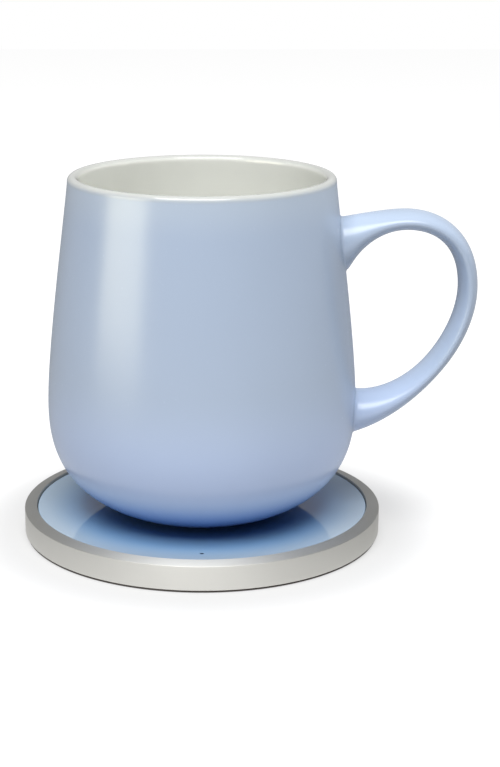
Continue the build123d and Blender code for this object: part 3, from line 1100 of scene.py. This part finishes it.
@dataclass
class DishPlate:
    """The glazed dish that the mug stands on, and the light pipe in it."""

    radius: float = 48.2
    flat_radius: float = 30.0
    top: float = 6.8
    edge: float = 7.75
    seat: float = 5.6
    under: float = 4.9
    rebate_radius: float = 42.0
    edge_round: float = 0.35
    light_radius: float = 41.0
    light_hole: float = 0.64
    pipe_radius: float = 0.6
    pipe_flange: float = 1.0
    pipe_flange_height: float = 0.6
    pipe_recess: float = 0.08
    pipe_crown: float = 0.03
    pipe_top_round: float = 0.08
    flange_top_round: float = 0.05
    flange_round: float = 0.1
    pipe_steps: int = 40
    drill_bottom: float = 4.0
    drill_top: float = 9.0
    drill_steps: int = 32
    flat_rings: tuple[float, ...] = (0.0, 8.0, 16.0, 24.0)
    curve_rings: int = 26
    steps: int = 256

    def curve_height(self, radius: float) -> float:
        """Work out the height of the dish's top.

        Args:
            radius: distance from the middle.

        Returns:
            The height there.
        """
        reach, depth = self.radius - self.flat_radius, self.edge - self.top
        bend = (reach**2 + depth**2) / (2 * depth)
        return self.top + bend - math.sqrt(bend**2 - max(0.0, radius - self.flat_radius) ** 2)

    def outline(self) -> list[Point]:
        """Draw the dish's section.

        Returns:
            Its points, from the middle of its top round to the middle below.
        """
        top = [(radius, self.top, 0.0) for radius in self.flat_rings]
        for ring in range(self.curve_rings):
            radius = self.flat_radius + (self.radius - self.flat_radius) * ring / self.curve_rings
            top.append((radius, self.curve_height(radius), 0.0))
        return rounded(
            [
                *top,
                (self.radius, self.edge, self.edge_round),
                (self.radius, self.seat, 0),
                (self.rebate_radius, self.seat, 0),
                (self.rebate_radius, self.under, 0),
                (0, self.under, 0),
            ],
            cuts=6,
        )

    def pipe_outline(self) -> list[Point]:
        """Draw the light pipe's section.

        Returns:
            Its points, from the middle of its top down to the middle of its flange.
        """
        top = self.curve_height(self.light_radius) - self.pipe_recess
        bottom = self.under - self.pipe_flange_height
        return rounded(
            [
                (0, top, 0),
                (self.pipe_radius, top - self.pipe_crown, self.pipe_top_round),
                (self.pipe_radius, self.under, 0),
                (self.pipe_flange, self.under, self.flange_top_round),
                (self.pipe_flange, bottom, self.flange_round),
                (0, bottom, 0),
            ],
            cuts=4,
        )

    def build(self) -> None:
        """Turn the dish, drill the light's hole, and fit the light pipe."""
        hole, low, high = self.light_hole, self.drill_bottom, self.drill_top
        drill = Piece("light_drill")
        drill.turn([(0, low), (hole, low), (hole, high), (0, high)], self.drill_steps)
        drill.move(0, -self.light_radius, 0)
        dish = Piece("glazed_dish").turn(self.outline(), self.steps)
        dish.cut(drill).smooth()
        dish.dress(Body.BASE, "dish_glaze", ["dish_plate"], DISH_GLAZE)
        pipe = Piece("polished_light_pipe").turn(self.pipe_outline(), self.pipe_steps)
        pipe.move(0, -self.light_radius, 0).smooth(35)
        pipe.dress(Body.BASE, "light_pipe_plastic", ["light_pipe"], SMOKED_PLASTIC)


@dataclass
class FootPad:
    """The rubber pad under the base, with its groove."""

    radius: float = 51.6
    thickness: float = 0.6
    groove_radius: float = 46.0
    groove_width: float = 1.0
    groove_depth: float = 0.25
    groove_edge_round: float = 0.08
    groove_floor_round: float = 0.1
    edge_round: float = 0.15
    steps: int = 256

    def outline(self) -> list[Point]:
        """Draw the pad's section.

        Returns:
            Its points, from the middle below round to the middle of its top.
        """
        near = self.groove_radius - self.groove_width / 2
        far = self.groove_radius + self.groove_width / 2
        return rounded(
            [
                (0, 0, 0),
                (near, 0, self.groove_edge_round),
                (near, self.groove_depth, self.groove_floor_round),
                (far, self.groove_depth, self.groove_floor_round),
                (far, 0, self.groove_edge_round),
                (self.radius, 0, self.edge_round),
                (self.radius, self.thickness, self.edge_round),
                (0, self.thickness, 0),
            ],
            cuts=3,
        )

    def build(self) -> None:
        """Turn the pad and dress it."""
        pad = Piece("rubber_foot").turn(self.outline(), self.steps)
        pad.smooth(35).dress(Body.BASE, "foot_rubber", ["foot_pad"], FOOT_RUBBER)


# ------------------------------------------------------------------ the mug
# The satin glaze's colours near the foot, on the lower belly, towards the rim and on the lip are
# painted shade and light, not the glaze's own.
SATIN_BLUE = SatinGlaze(
    "satin_blue_glaze",
    (0.447, 0.538, 0.683),
    0.26,
    shaded_lip_colour=(0.56, 0.575, 0.555),
    clay_colour=screen(186, 172, 154),
    lip_start=102.8,
    lip_end=104.6,
    foot_start=6.82,
    foot_end=6.88,
    painted_shade_colour=(0.18, 0.30, 0.62),
    painted_bounce_colour=(0.525, 0.645, 0.91),
    painted_top_light_colour=(0.505, 0.592, 0.708),
    painted_shade_start=11.0,
    painted_bounce_height=22.0,
    plain_height=54.0,
    painted_top_light_start=92.0,
    painted_top_light_end=104.0,
)
# Its colour darkens at the lip's crest: painted shade against the strong light there.
WHITE_GLAZE = GlossGlaze(
    "white_liner_glaze", (0.87, 0.88, 0.835), 0.1, (0.56, 0.57, 0.545), 103.5, 104.6, upwards=True
)


@dataclass
class MugBody:
    """The mug's wall, floor and foot, turned in one piece.

    It stands on the dish, and its heights are above its stand. A pull is how far a side keeps
    its direction from the foot, up and down from the belly, or down from the rim.
    """

    stand: float = DishPlate.top
    belly_radius: float = 44.45
    belly_height: float = 32.0
    rim_radius: float = 37.8
    rim_height: float = 96.5
    lip: float = 3.0
    wall: float = 3.8
    foot_radius: float = 20.5
    foot_round: float = 0.5
    foot_corner: float = 0.2
    recess_radius: float = 18.3
    recess_depth: float = 1.4
    recess_round: float = 0.4
    inner_floor: float = 5.6
    inner_flat: float = 18.0
    foot_angle: float = 17.0
    rim_lean: float = 4.2
    foot_pull: float = 22.4
    low_pull: float = 10.6
    high_pull: float = 16.3
    rim_pull: float = 6.9
    inner_pull: float = 13.0
    inner_low_pull: float = 20.0
    floor_rings: tuple[float, ...] = (0.66, 0.33, 0.0)
    low_cuts: int = 30
    high_cuts: int = 36
    lip_cuts: int = 16
    lining_margin: float = 1.0
    steps: int = 224

    def side(
        self, start: Point, angle: float, pull: float, low_pull: float, belly: float, rim: float
    ) -> list[Point]:
        """Draw one side of the wall.

        Args:
            start: where it leaves the foot or the floor.
            angle: its slope there, in degrees.
            pull: how far it keeps that slope.
            low_pull: how far it keeps upright below the belly.
            belly: its radius at the belly.
            rim: its radius at the rim.

        Returns:
            The side's points, from start to rim.
        """
        turn, lean = math.radians(angle), math.radians(self.rim_lean)
        low = swept(
            start,
            (start[0] + pull * math.cos(turn), start[1] + pull * math.sin(turn)),
            (belly, self.belly_height - low_pull),
            (belly, self.belly_height),
            self.low_cuts,
        )
        rim_drop = self.rim_pull * math.cos(lean)
        high = swept(
            (belly, self.belly_height),
            (belly, self.belly_height + self.high_pull),
            (rim + self.rim_pull * math.sin(lean), self.rim_height - rim_drop),
            (rim, self.rim_height),
            self.high_cuts,
        )
        return low + high[1:]

    def outer_side(self) -> list[Point]:
        """Draw the outside of the wall.

        Returns:
            Its points, from the foot to the rim.
        """
        return self.side(
            (self.foot_radius + self.foot_round, self.foot_round),
            self.foot_angle,
            self.foot_pull,
            self.low_pull,
            self.belly_radius,
            self.rim_radius,
        )

    def outline(self) -> list[Point]:
        """Draw the mug's section.

        Returns:
            Its points, from the middle below round to the middle of its floor.
        """
        foot = rounded(
            [
                (0, self.recess_depth, 0),
                (self.recess_radius, self.recess_depth, self.recess_round),
                (self.recess_radius, 0, self.foot_round),
                (self.foot_radius + self.foot_corner, 0, self.foot_round),
                (self.foot_radius + self.foot_round, self.foot_round, 0),
            ],
            cuts=5,
        )
        middle, half = self.rim_radius - self.lip / 2, self.lip / 2
        turns = [math.pi * cut / self.lip_cuts for cut in range(self.lip_cuts + 1)]
        lip = [
            (middle + half * math.cos(turn), self.rim_height + half * math.sin(turn))
            for turn in turns
        ]
        inner = self.side(
            (self.inner_flat, self.inner_floor),
            0,
            self.inner_pull,
            self.inner_low_pull,
            self.belly_radius - self.wall,
            self.rim_radius - self.lip,
        )
        floor = [(share * self.inner_flat, self.inner_floor) for share in self.floor_rings]
        section = foot[:-1] + self.outer_side() + lip[1:] + inner[::-1][1:] + floor
        return [(radius, height + self.stand) for radius, height in section]

    def build(self) -> Piece:
        """Turn the mug and glaze it, satin outside and glossy white inside.

        Returns:
            The mug, for its handle to be fitted to.
        """
        mug = Piece("glazed_mug").turn(self.outline(), self.steps)
        mug.smooth(35)
        mug.dress(Body.MUG, "mug_glaze", ["mug_body"], SATIN_BLUE, WHITE_GLAZE)
        lining_bottom = mm(self.stand + self.recess_depth + self.lining_margin)
        for polygon in mug.object.data.polygons:
            faces_in = polygon.center.xy.normalized().dot(polygon.normal.xy) < 0
            faces_up = polygon.normal.z > 0.999
            if (faces_in or faces_up) and polygon.center.z > lining_bottom:
                polygon.material_index = 1
        return mug


@dataclass
class MugHandle:
    """The mug's loop handle, lofted through rings and blended into the wall.

    Its middle line goes from the upper end over the far place to the lower end, and each pull is
    a place that it bends towards, all as radius and height above the mug's stand. The flares are
    shares of its length. Each step of the blend is how far a ring spreads over the wall, and its
    gap to the wall, both in blends.
    """

    mug: MugBody
    upper_end: Point = (33.9, 75.5)
    upper_pull: Point = (54.56, 91.93)
    rise_pull: Point = (75.8, 87.1)
    far: Point = (75.8, 65.5)
    fall_pull: Point = (75.8, 49.3)
    lower_pull: Point = (59.45, 29.1)
    lower_end: Point = (40.55, 29.1)
    top_thickness: float = 5.8
    low_thickness: float = 4.8
    width: float = 15.0
    upper_root: float = 20.6
    lower_root: float = 14.3
    root_width: float = 17.5
    upper_flare: float = 0.223
    lower_flare: float = 0.288
    blend: float = 0.8
    blend_steps: tuple[Pair, ...] = ((1.55, -0.04), (1.0, -0.01), (0.293, 0.293), (0.0, 1.0))
    root_reach: float = 0.4
    halvings: int = 24
    rings: int = 44
    ring_points: int = 40
    cuts: int = 300

    def middle_line(self) -> Line:
        """Draw the handle's middle line.

        Returns:
            The line, from its upper end to its lower.
        """
        rise = swept(self.upper_end, self.upper_pull, self.rise_pull, self.far, self.cuts)
        fall = swept(self.far, self.fall_pull, self.lower_pull, self.lower_end, self.cuts)
        return Line([Vector(point) for point in rise + fall[1:]])

    def flares(self, share: float) -> tuple[float, float]:
        """Work out how far each root's flare has come.

        Args:
            share: share of the middle line's length.

        Returns:
            The upper root's flare and the lower root's, from 0 to 1.
        """
        upper = max(0.0, 1 - share / self.upper_flare) ** 2
        lower = max(0.0, 1 - (1 - share) / self.lower_flare) ** 2
        return upper, lower

    def half_width(self, share: float) -> float:
        """Return half of the handle's width at a share of its length."""
        return (self.width + sum(self.flares(share)) * (self.root_width - self.width)) / 2

    def edge(self, line: Line, share: float, side: int) -> Vector:
        """Return a point of the handle's outline.

        Args:
            line: the middle line.
            share: share of its length.
            side: 1 for the outline's outer side, and -1 for its inner side.

        Returns:
            Radius and height of the point.
        """
        place, direction = line.at(share)
        upper, lower = self.flares(share)
        plain = self.top_thickness + share * (self.low_thickness - self.top_thickness)
        thickness = (
            plain + upper * (self.upper_root - plain) + lower * (self.lower_root - plain)
        )
        return place + Vector((-direction.y, direction.x)) * side * thickness / 2

    def wall_gap(self, point: Vector, wall: Sequence[Vector]) -> tuple[float, Vector, Vector]:
        """Measure from a point to the mug's wall.

        Args:
            point: radius and height.
            wall: the wall's outline, from the foot up.

        Returns:
            The gap, the wall's nearest point, and the wall's direction upwards there.
        """
        best = None
        for low, high in zip(wall, wall[1:]):
            run = high - low
            share = min(1.0, max(0.0, (point - low).dot(run) / run.length_squared))
            foot = low + run * share
            if best is None or (point - foot).length < best[0]:
                out = Vector((run.y, -run.x))
                sign = 1 if (point - foot).dot(out) >= 0 else -1
                best = ((point - foot).length, sign, foot, run.normalized())
        gap, sign, foot, up = best
        return gap * sign, foot, up

    def crossing(self, line: Line, wall: Sequence[Vector], side: int, lower: bool) -> float:
        """Find where one side of the outline comes within the blend of the wall.

        Args:
            line: the middle line.
            wall: the wall's outline.
            side: 1 for the outer side of the outline, and -1 for the inner.
            lower: whether to look at the lower root.

        Returns:
            The share of the middle line's length.
        """
        near, far = (1.0, 1 - self.root_reach) if lower else (0.0, self.root_reach)
        for _ in range(self.halvings):
            half = (near + far) / 2
            if self.wall_gap(self.edge(line, half, side), wall)[0] < self.blend:
                near = half
            else:
                far = half
        return far

    def add_ring(self, outer: Vector, inner: Vector, half_width: float) -> None:
        """Add a ring of points between two points of the outline.

        Args:
            outer: point on the outer side, as radius and height.
            inner: point on the inner side.
            half_width: half of the ring's width along Y.
        """
        middle, across = (outer + inner) / 2, outer - inner
        centre = (mm(middle.x), 0, mm(middle.y + self.mug.stand))
        bpy.ops.mesh.select_all(action="DESELECT")
        bpy.ops.mesh.primitive_circle_add(
            vertices=self.ring_points,
            radius=mm(across.length / 2),
            location=centre,
            rotation=(0, -math.atan2(across.y, across.x), 0),
        )
        bpy.ops.transform.resize(
            value=(1, 2 * half_width / across.length, 1), center_override=centre
        )

    def bridge_rings(self, piece: Piece, count: int) -> None:
        """Bridge each ring to the next.

        Args:
            piece: the piece that holds the rings, in their order.
            count: how many rings it has.
        """
        for ring in range(count - 1):
            pair = range(ring * self.ring_points, (ring + 2) * self.ring_points)
            piece.pick_edges(
                lambda edge: len(edge.link_faces) < 2
                and all(end.index in pair for end in edge.verts)
            )
            bpy.ops.mesh.bridge_edge_loops()

    def root_rings(
        self, outer: Vector, inner: Vector, half_width: float, wall: Sequence[Vector]
    ) -> list[Ring]:
        """Lay out the rings that blend a root into the wall, from the wall outwards.

        Args:
            outer: the root's outer point, one blend away from the wall.
            inner: its inner point.
            half_width: half of its width.
            wall: the wall's outline.

        Returns:
            Each ring's outer point, inner point and half width.
        """
        rings = []
        for spread, gap in self.blend_steps:
            ends = []
            for point, other in ((outer, inner), (inner, outer)):
                _, foot, up = self.wall_gap(point, wall)
                away = up if (point - other).dot(up) > 0 else -up
                out = (point - foot).normalized()
                ends.append(foot + away * self.blend * spread + out * self.blend * max(gap, 0))
            rings.append((*ends, half_width + self.blend * spread))
        return rings

    def loft_rings(self, line: Line, wall: Sequence[Vector]) -> list[Ring]:
        """Lay out the rings between the two blends.

        Args:
            line: the middle line.
            wall: the wall's outline.

        Returns:
            Each ring's outer point, inner point and half width, from the upper root down.
        """
        starts, ends = (
            {side: self.crossing(line, wall, side, lower) for side in (1, -1)}
            for lower in (False, True)
        )
        rings = []
        for ring in range(self.rings + 1):
            share = ring / self.rings
            outer, inner = (
                share + starts[side] * (1 - share) ** 3 - (1 - ends[side]) * share**3
                for side in (1, -1)
            )
            half_width = self.half_width((outer + inner) / 2)
            rings.append((self.edge(line, outer, 1), self.edge(line, inner, -1), half_width))
        return rings

    def fit_ring(self, handle: Piece, mug: Piece, ring: int, gap: float) -> None:
        """Bring one of the handle's rings to a gap from the mug's wall.

        Args:
            handle: the handle.
            mug: the mug.
            ring: the ring's number.
            gap: the gap in millimetres, where less than 0 is inside the wall.
        """
        handle.take()
        group = handle.object.vertex_groups.new(name=f"ring_{ring}")
        start = ring * self.ring_points
        group.add(list(range(start, start + self.ring_points)), 1.0, "REPLACE")
        handle.modify(
            "SHRINKWRAP",
            {
                "target": mug.object,
                "vertex_group": group.name,
                "wrap_method": "NEAREST_SURFACEPOINT",
                "wrap_mode": "ON_SURFACE",
                "offset": mm(gap),
            },
        )

    def build(self, mug: Piece) -> None:
        """Loft the handle, blend its roots into the mug's wall and glaze it.

        Args:
            mug: the mug that it is fitted to.
        """
        wall = [Vector(point) for point in self.mug.outer_side()]
        loft = self.loft_rings(self.middle_line(), wall)
        upper, lower = (self.root_rings(*loft[end], wall)[:-1] for end in (0, -1))
        rings = upper + loft + lower[::-1]
        handle = Piece("glazed_handle").empty()
        for ring in rings:
            self.add_ring(*ring)
        self.bridge_rings(handle, len(rings))
        handle.close()
        for step, (_, gap) in enumerate(self.blend_steps):
            for ring in (step, len(rings) - 1 - step):
                self.fit_ring(handle, mug, ring, gap * self.blend)
        handle.object.vertex_groups.clear()
        handle.modify("SUBSURF", {"levels": 2, "render_levels": 2})
        handle.smooth(60).dress(Body.MUG, "mug_glaze", ["mug_handle"], SATIN_BLUE)


# ------------------------------------------------------------------ pieces kept from the frame
@dataclass
class FrameFinishes:
    """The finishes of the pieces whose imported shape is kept."""

    component_circle: float = 35.0

    def finishes(self) -> dict[str, Finish]:
        """List the finishes.

        Returns:
            One finish for each kept node, by the node's name.
        """
        black = screen(34, 34, 36)
        steel = screen(198, 198, 200)
        copper = screen(206, 128, 84)
        chip = Moulded("chip_resin", screen(38, 38, 40), 0.5, 0.2, 0.006)
        ferrite = Sintered("ferrite", screen(58, 56, 58), 0.55)
        frame_black = Moulded("black_plastic", black, 0.48, 0.45, 0.008)
        zinc = BlastedMetal("screw_steel", steel, 0.28, 0.5, 0.004)
        wire = EnamelledWire("coil_copper", copper, 0.3)
        return {
            "bond_ring": Foamed("foam_tape", screen(52, 52, 54), 0.9),
            "edge_seal": Moulded("silicone", screen(44, 47, 52), 0.55, 0.8, 0.004),
            "inner_frame": frame_black,
            "bottom_cover": frame_black,
            "cover_screws": zinc,
            "board_screws": zinc,
            "coil_tray": Moulded("tray_plastic", screen(92, 88, 82), 0.5, 0.5, 0.008),
            "ferrite_disc": ferrite,
            "filter_inductors": ferrite,
            "transmitter_coil": wire,
            "coil_leads": wire,
            "heat_pad": Moulded("thermal_silicone", screen(150, 158, 176), 0.75, 0.3, 0.01),
            "temperature_sensor": Moulded("sensor_epoxy", screen(30, 30, 34), 0.2, 0.6, 0.006),
            "sensor_ribbon": TrackedFilm("ribbon_film", screen(186, 108, 30), 0.25, 0.5, False),
            "circuit_board": Laminate("board_laminate", screen(12, 62, 52), 0.3),
            "controller_chip": chip,
            "power_chip": chip,
            "bridge_transistors": chip,
            "resonant_capacitors": CappedChip(
                "large_capacitor", screen(150, 118, 84), 0.4, self.component_circle, 4.5, 0.7
            ),
            "board_capacitors": CappedChip(
                "small_capacitor", screen(158, 130, 96), 0.4, self.component_circle, 1.6, 0.35
            ),
            "indicator_led": LampPackage(
                "led_package", screen(232, 230, 224), 0.4, DishPlate.light_radius
            ),
            "socket_shell": BlastedMetal(
                "socket_steel", screen(186, 183, 176), 0.24, 0.3, 0.002, (1, 0.1, 1)
            ),
            "socket_tongue": ContactPlastic("socket_tongue_plastic", black, 0.45),
            "port_liner": Moulded("socket_plastic", screen(30, 30, 32), 0.42, 0.4, 0.006),
            "heating_film": TrackedFilm("heating_film", screen(176, 98, 26), 0.25, 1.1, True),
            "film_cover": Moulded("cover_ceramic", screen(118, 134, 164), 0.38, 0.6, 0.006),
            "cover_seal": Moulded("cover_silicone", screen(96, 104, 120), 0.6, 0.6, 0.006),
        }

    def build(self) -> None:
        """Dress every kept node with its finish."""
        made: dict[Finish, bpy.types.Material] = {}
        for name, finish in self.finishes().items():
            if finish not in made:
                made[finish] = finish.material()
            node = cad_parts[name]
            for slot in node.material_slots:
                slot.material = made[finish]
            log.info("%s: kept, in %s", name, finish.name)


# ------------------------------------------------------------------ the studio
GLAZED = ("glazed_mug", "glazed_handle")
WARM_WHITE = (1.0, 0.94, 0.68)


@dataclass
class Lamp:
    """A soft rectangular lamp that faces the object.

    Its azimuth is in degrees to the right of the camera's side, as seen from above. It lights
    every piece, or only those that are named in lit.
    """

    name: str
    azimuth: float
    elevation: float
    distance: float
    width: float
    height: float
    power: float
    rays: Rays = Rays.ALL
    lit: Sequence[str] = ()
    colour: Colour = grey(1)
    aim_height: float = 0.045

    def build(self) -> None:
        """Hang the lamp and turn it to the object."""
        turn, tilt = math.radians(self.azimuth), math.radians(self.elevation)
        away = Vector(
            (math.sin(turn) * math.cos(tilt), -math.cos(turn) * math.cos(tilt), math.sin(tilt))
        )
        target = Vector((0, 0, self.aim_height))
        bpy.ops.object.light_add(
            type="AREA",
            location=target + away * self.distance,
            rotation=away.to_track_quat("Z", "Y").to_euler(),
        )
        lamp = bpy.context.active_object
        lamp.name = self.name
        lamp.visible_camera = False
        lamp.visible_diffuse = self.rays is not Rays.SHEEN
        lamp.visible_glossy = self.rays is not Rays.SOFT
        lamp.data.shape = "RECTANGLE"
        lamp.data.size, lamp.data.size_y = self.width, self.height
        lamp.data.energy = self.power
        lamp.data.color = self.colour
        if self.lit:
            lit = bpy.data.collections.new(f"lit_by_{self.name}")
            for name in self.lit:
                lit.objects.link(bpy.data.objects[name])
            lamp.light_linking.receiver_collection = lit
        log.info("%s: %.2f W", self.name, self.power)


@dataclass
class Studio:
    """The pale room around the object: floor, backdrop, lamps and camera.

    A mirrored level is how bright the floor or the room is in the object's shine, and each gain
    and loss is what its front, left, back or sky adds or takes away. A pair is a start and an
    end, or the levels there.
    """

    camera_place: Triple = (0.0, -0.4992, 0.1858)
    camera_pitch: float = 15.88
    lens: float = 84.1
    sensor: float = 36.0
    shift: float = 0.0627
    clip_start: float = 0.01
    floor_size: float = 3.0
    floor_drop: float = 0.0001
    paper_greys: Pair = (0.59, 0.61)
    shadow_grey: float = 0.25
    glow_reach: Pair = (0.053, 0.085)
    glow_levels: Pair = (0.585, 0.93)
    mirrored_floor: float = 0.78
    floor_front_gain: float = 0.58
    floor_left_gain: float = 0.18
    floor_back_loss: float = 0.5
    mirrored_room: float = 0.14
    room_sky_gain: float = 0.3
    room_back_gain: float = 0.36
    second_mirror: float = 0.03
    sky: Pair = (0.1, 0.9)
    horizon: Pair = (0.25, 0.45)
    ambient_levels: Pair = (0.03, 0.08)
    lamps: tuple[Lamp, ...] = (
        Lamp("key_lamp", -10, 62, 1.0, 0.85, 0.6, 12.0),
        Lamp("overhead_lamp", 0, 90, 1.0, 0.95, 0.95, 3.2, Rays.SOFT),
        Lamp("strip_lamp", -64, 8, 0.8, 0.54, 0.5, 5.2, Rays.SHEEN, GLAZED, WARM_WHITE),
        Lamp("fill_lamp", 118, 18, 0.8, 0.4, 0.5, 2.4, Rays.SOFT, GLAZED),
    )

    def floor(self) -> None:
        """Lay the floor."""
        bpy.ops.object.select_all(action="DESELECT")
        bpy.ops.mesh.primitive_plane_add(size=self.floor_size, location=(0, 0, -self.floor_drop))
        floor = bpy.context.active_object
        floor.name = "studio_floor"
        floor.data.materials.append(self.paper())

    def paper(self) -> bpy.types.Material:
        """Make the floor's paper, which shows as white and keeps the object's shadow.

        Returns:
            Its material.
        """
        material = bpy.data.materials.new("studio_paper")
        material.use_nodes = True
        sheet = NodeSheet(material.node_tree)
        paper = sheet.blend(sheet.noise(40), *(grey(level) for level in self.paper_greys))
        matt = sheet.node("BsdfDiffuse", inputs={"Color": paper})
        shadow = sheet.node("BsdfDiffuse", inputs={"Color": grey(self.shadow_grey)})
        far = sheet.rise(sheet.radius(), *self.glow_reach)
        glow = self.glowing(sheet, sheet.span(far, *self.glow_levels))
        white = sheet.node("AddShader", inputs={0: shadow, 1: glow})
        mirrored = self.glowing(sheet, self.floor_level(sheet))
        shiny = self.from_shine(sheet)
        seen = sheet.node("MixShader", inputs={0: shiny, 1: white, 2: mirrored})
        camera = sheet.node("LightPath", output="Is Camera Ray")
        shown = sheet.math(Sum.MAXIMUM, camera, shiny)
        sheet.end("Material", sheet.node("MixShader", inputs={0: shown, 1: matt, 2: seen}))
        material.cycles.emission_sampling = "NONE"
        return material

    def glowing(self, sheet: NodeSheet, level: Signal) -> Signal:
        """Make a white glow of a level."""
        return sheet.node("Emission", inputs={"Color": grey(1), "Strength": level})

    def floor_level(self, sheet: NodeSheet) -> Signal:
        """Work out how bright the floor is in the object's shine.

        Args:
            sheet: the paper's sheet.

        Returns:
            The level.
        """
        x, y = sheet.along("X"), sheet.along("Y")
        # a little more than the radius, so that nothing is divided by zero in the middle
        reach = sheet.radius() + mm(1)
        front, left, back = ((side / reach).positive() for side in (0 - y, 0 - x, y))
        level = self.mirrored_floor + front * self.floor_front_gain + left * self.floor_left_gain
        return (level - back * self.floor_back_loss) * self.first_mirror(sheet)

    def from_shine(self, sheet: NodeSheet) -> Signal:
        """Return 1 for rays that come from a shiny or clear surface."""
        kinds = ("Is Glossy Ray", "Is Transmission Ray")
        return sheet.math(Sum.MAXIMUM, *(sheet.node("LightPath", output=kind) for kind in kinds))

    def first_mirror(self, sheet: NodeSheet) -> Signal:
        """Return 1 for rays from one shiny surface, and less if they come by way of a second."""
        depth = sheet.node("LightPath", output="Glossy Depth")
        return sheet.span(depth > 1.5, 1.0, self.second_mirror)

    def backdrop(self) -> None:
        """Make the world: white behind the object, and a pale room in its shine."""
        world = bpy.data.worlds.new("studio_room")
        bpy.context.scene.world = world
        world.use_nodes = True
        sheet = NodeSheet(world.node_tree)
        direction = sheet.node("TexCoord", output="Generated")
        y, z = (sheet.node("SeparateXYZ", inputs={0: direction}, output=axis) for axis in "YZ")
        up = sheet.rise(z, *self.sky)
        back = y.positive() * (1 - sheet.rise(z, *self.horizon))
        room = self.mirrored_room + up * self.room_sky_gain + back * self.room_back_gain
        room = room * self.first_mirror(sheet)
        ambient = sheet.span(up, *self.ambient_levels)
        camera = sheet.node("LightPath", output="Is Camera Ray")
        level = sheet.span(camera, sheet.span(self.from_shine(sheet), ambient, room), 1.0)
        light = sheet.node("Background", inputs={"Color": grey(1), "Strength": level})
        sheet.end("World", light)
        world.cycles.sampling_method = "NONE"

    def camera(self) -> None:
        """Set up the camera."""
        bpy.ops.object.camera_add(
            location=self.camera_place, rotation=(math.radians(90 - self.camera_pitch), 0, 0)
        )
        camera = bpy.context.active_object
        camera.name = "studio_camera"
        camera.data.lens = self.lens
        camera.data.sensor_width = self.sensor
        camera.data.shift_x = self.shift
        camera.data.clip_start = self.clip_start
        bpy.context.scene.camera = camera

    def build(self) -> None:
        """Set up the whole room."""
        self.floor()
        self.backdrop()
        for lamp in self.lamps:
            lamp.build()
        self.camera()
        bpy.context.scene.view_settings.view_transform = "Standard"


def main() -> None:
    """Build the studio and every piece."""
    logging.basicConfig(level=logging.INFO, format="%(name)s: %(message)s")
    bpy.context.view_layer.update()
    BezelRing().build()
    DishPlate().build()
    FootPad().build()
    body = MugBody()
    MugHandle(body).build(body.build())
    FrameFinishes().build()
    Studio().build()


if __name__ == "__main__":
    main()
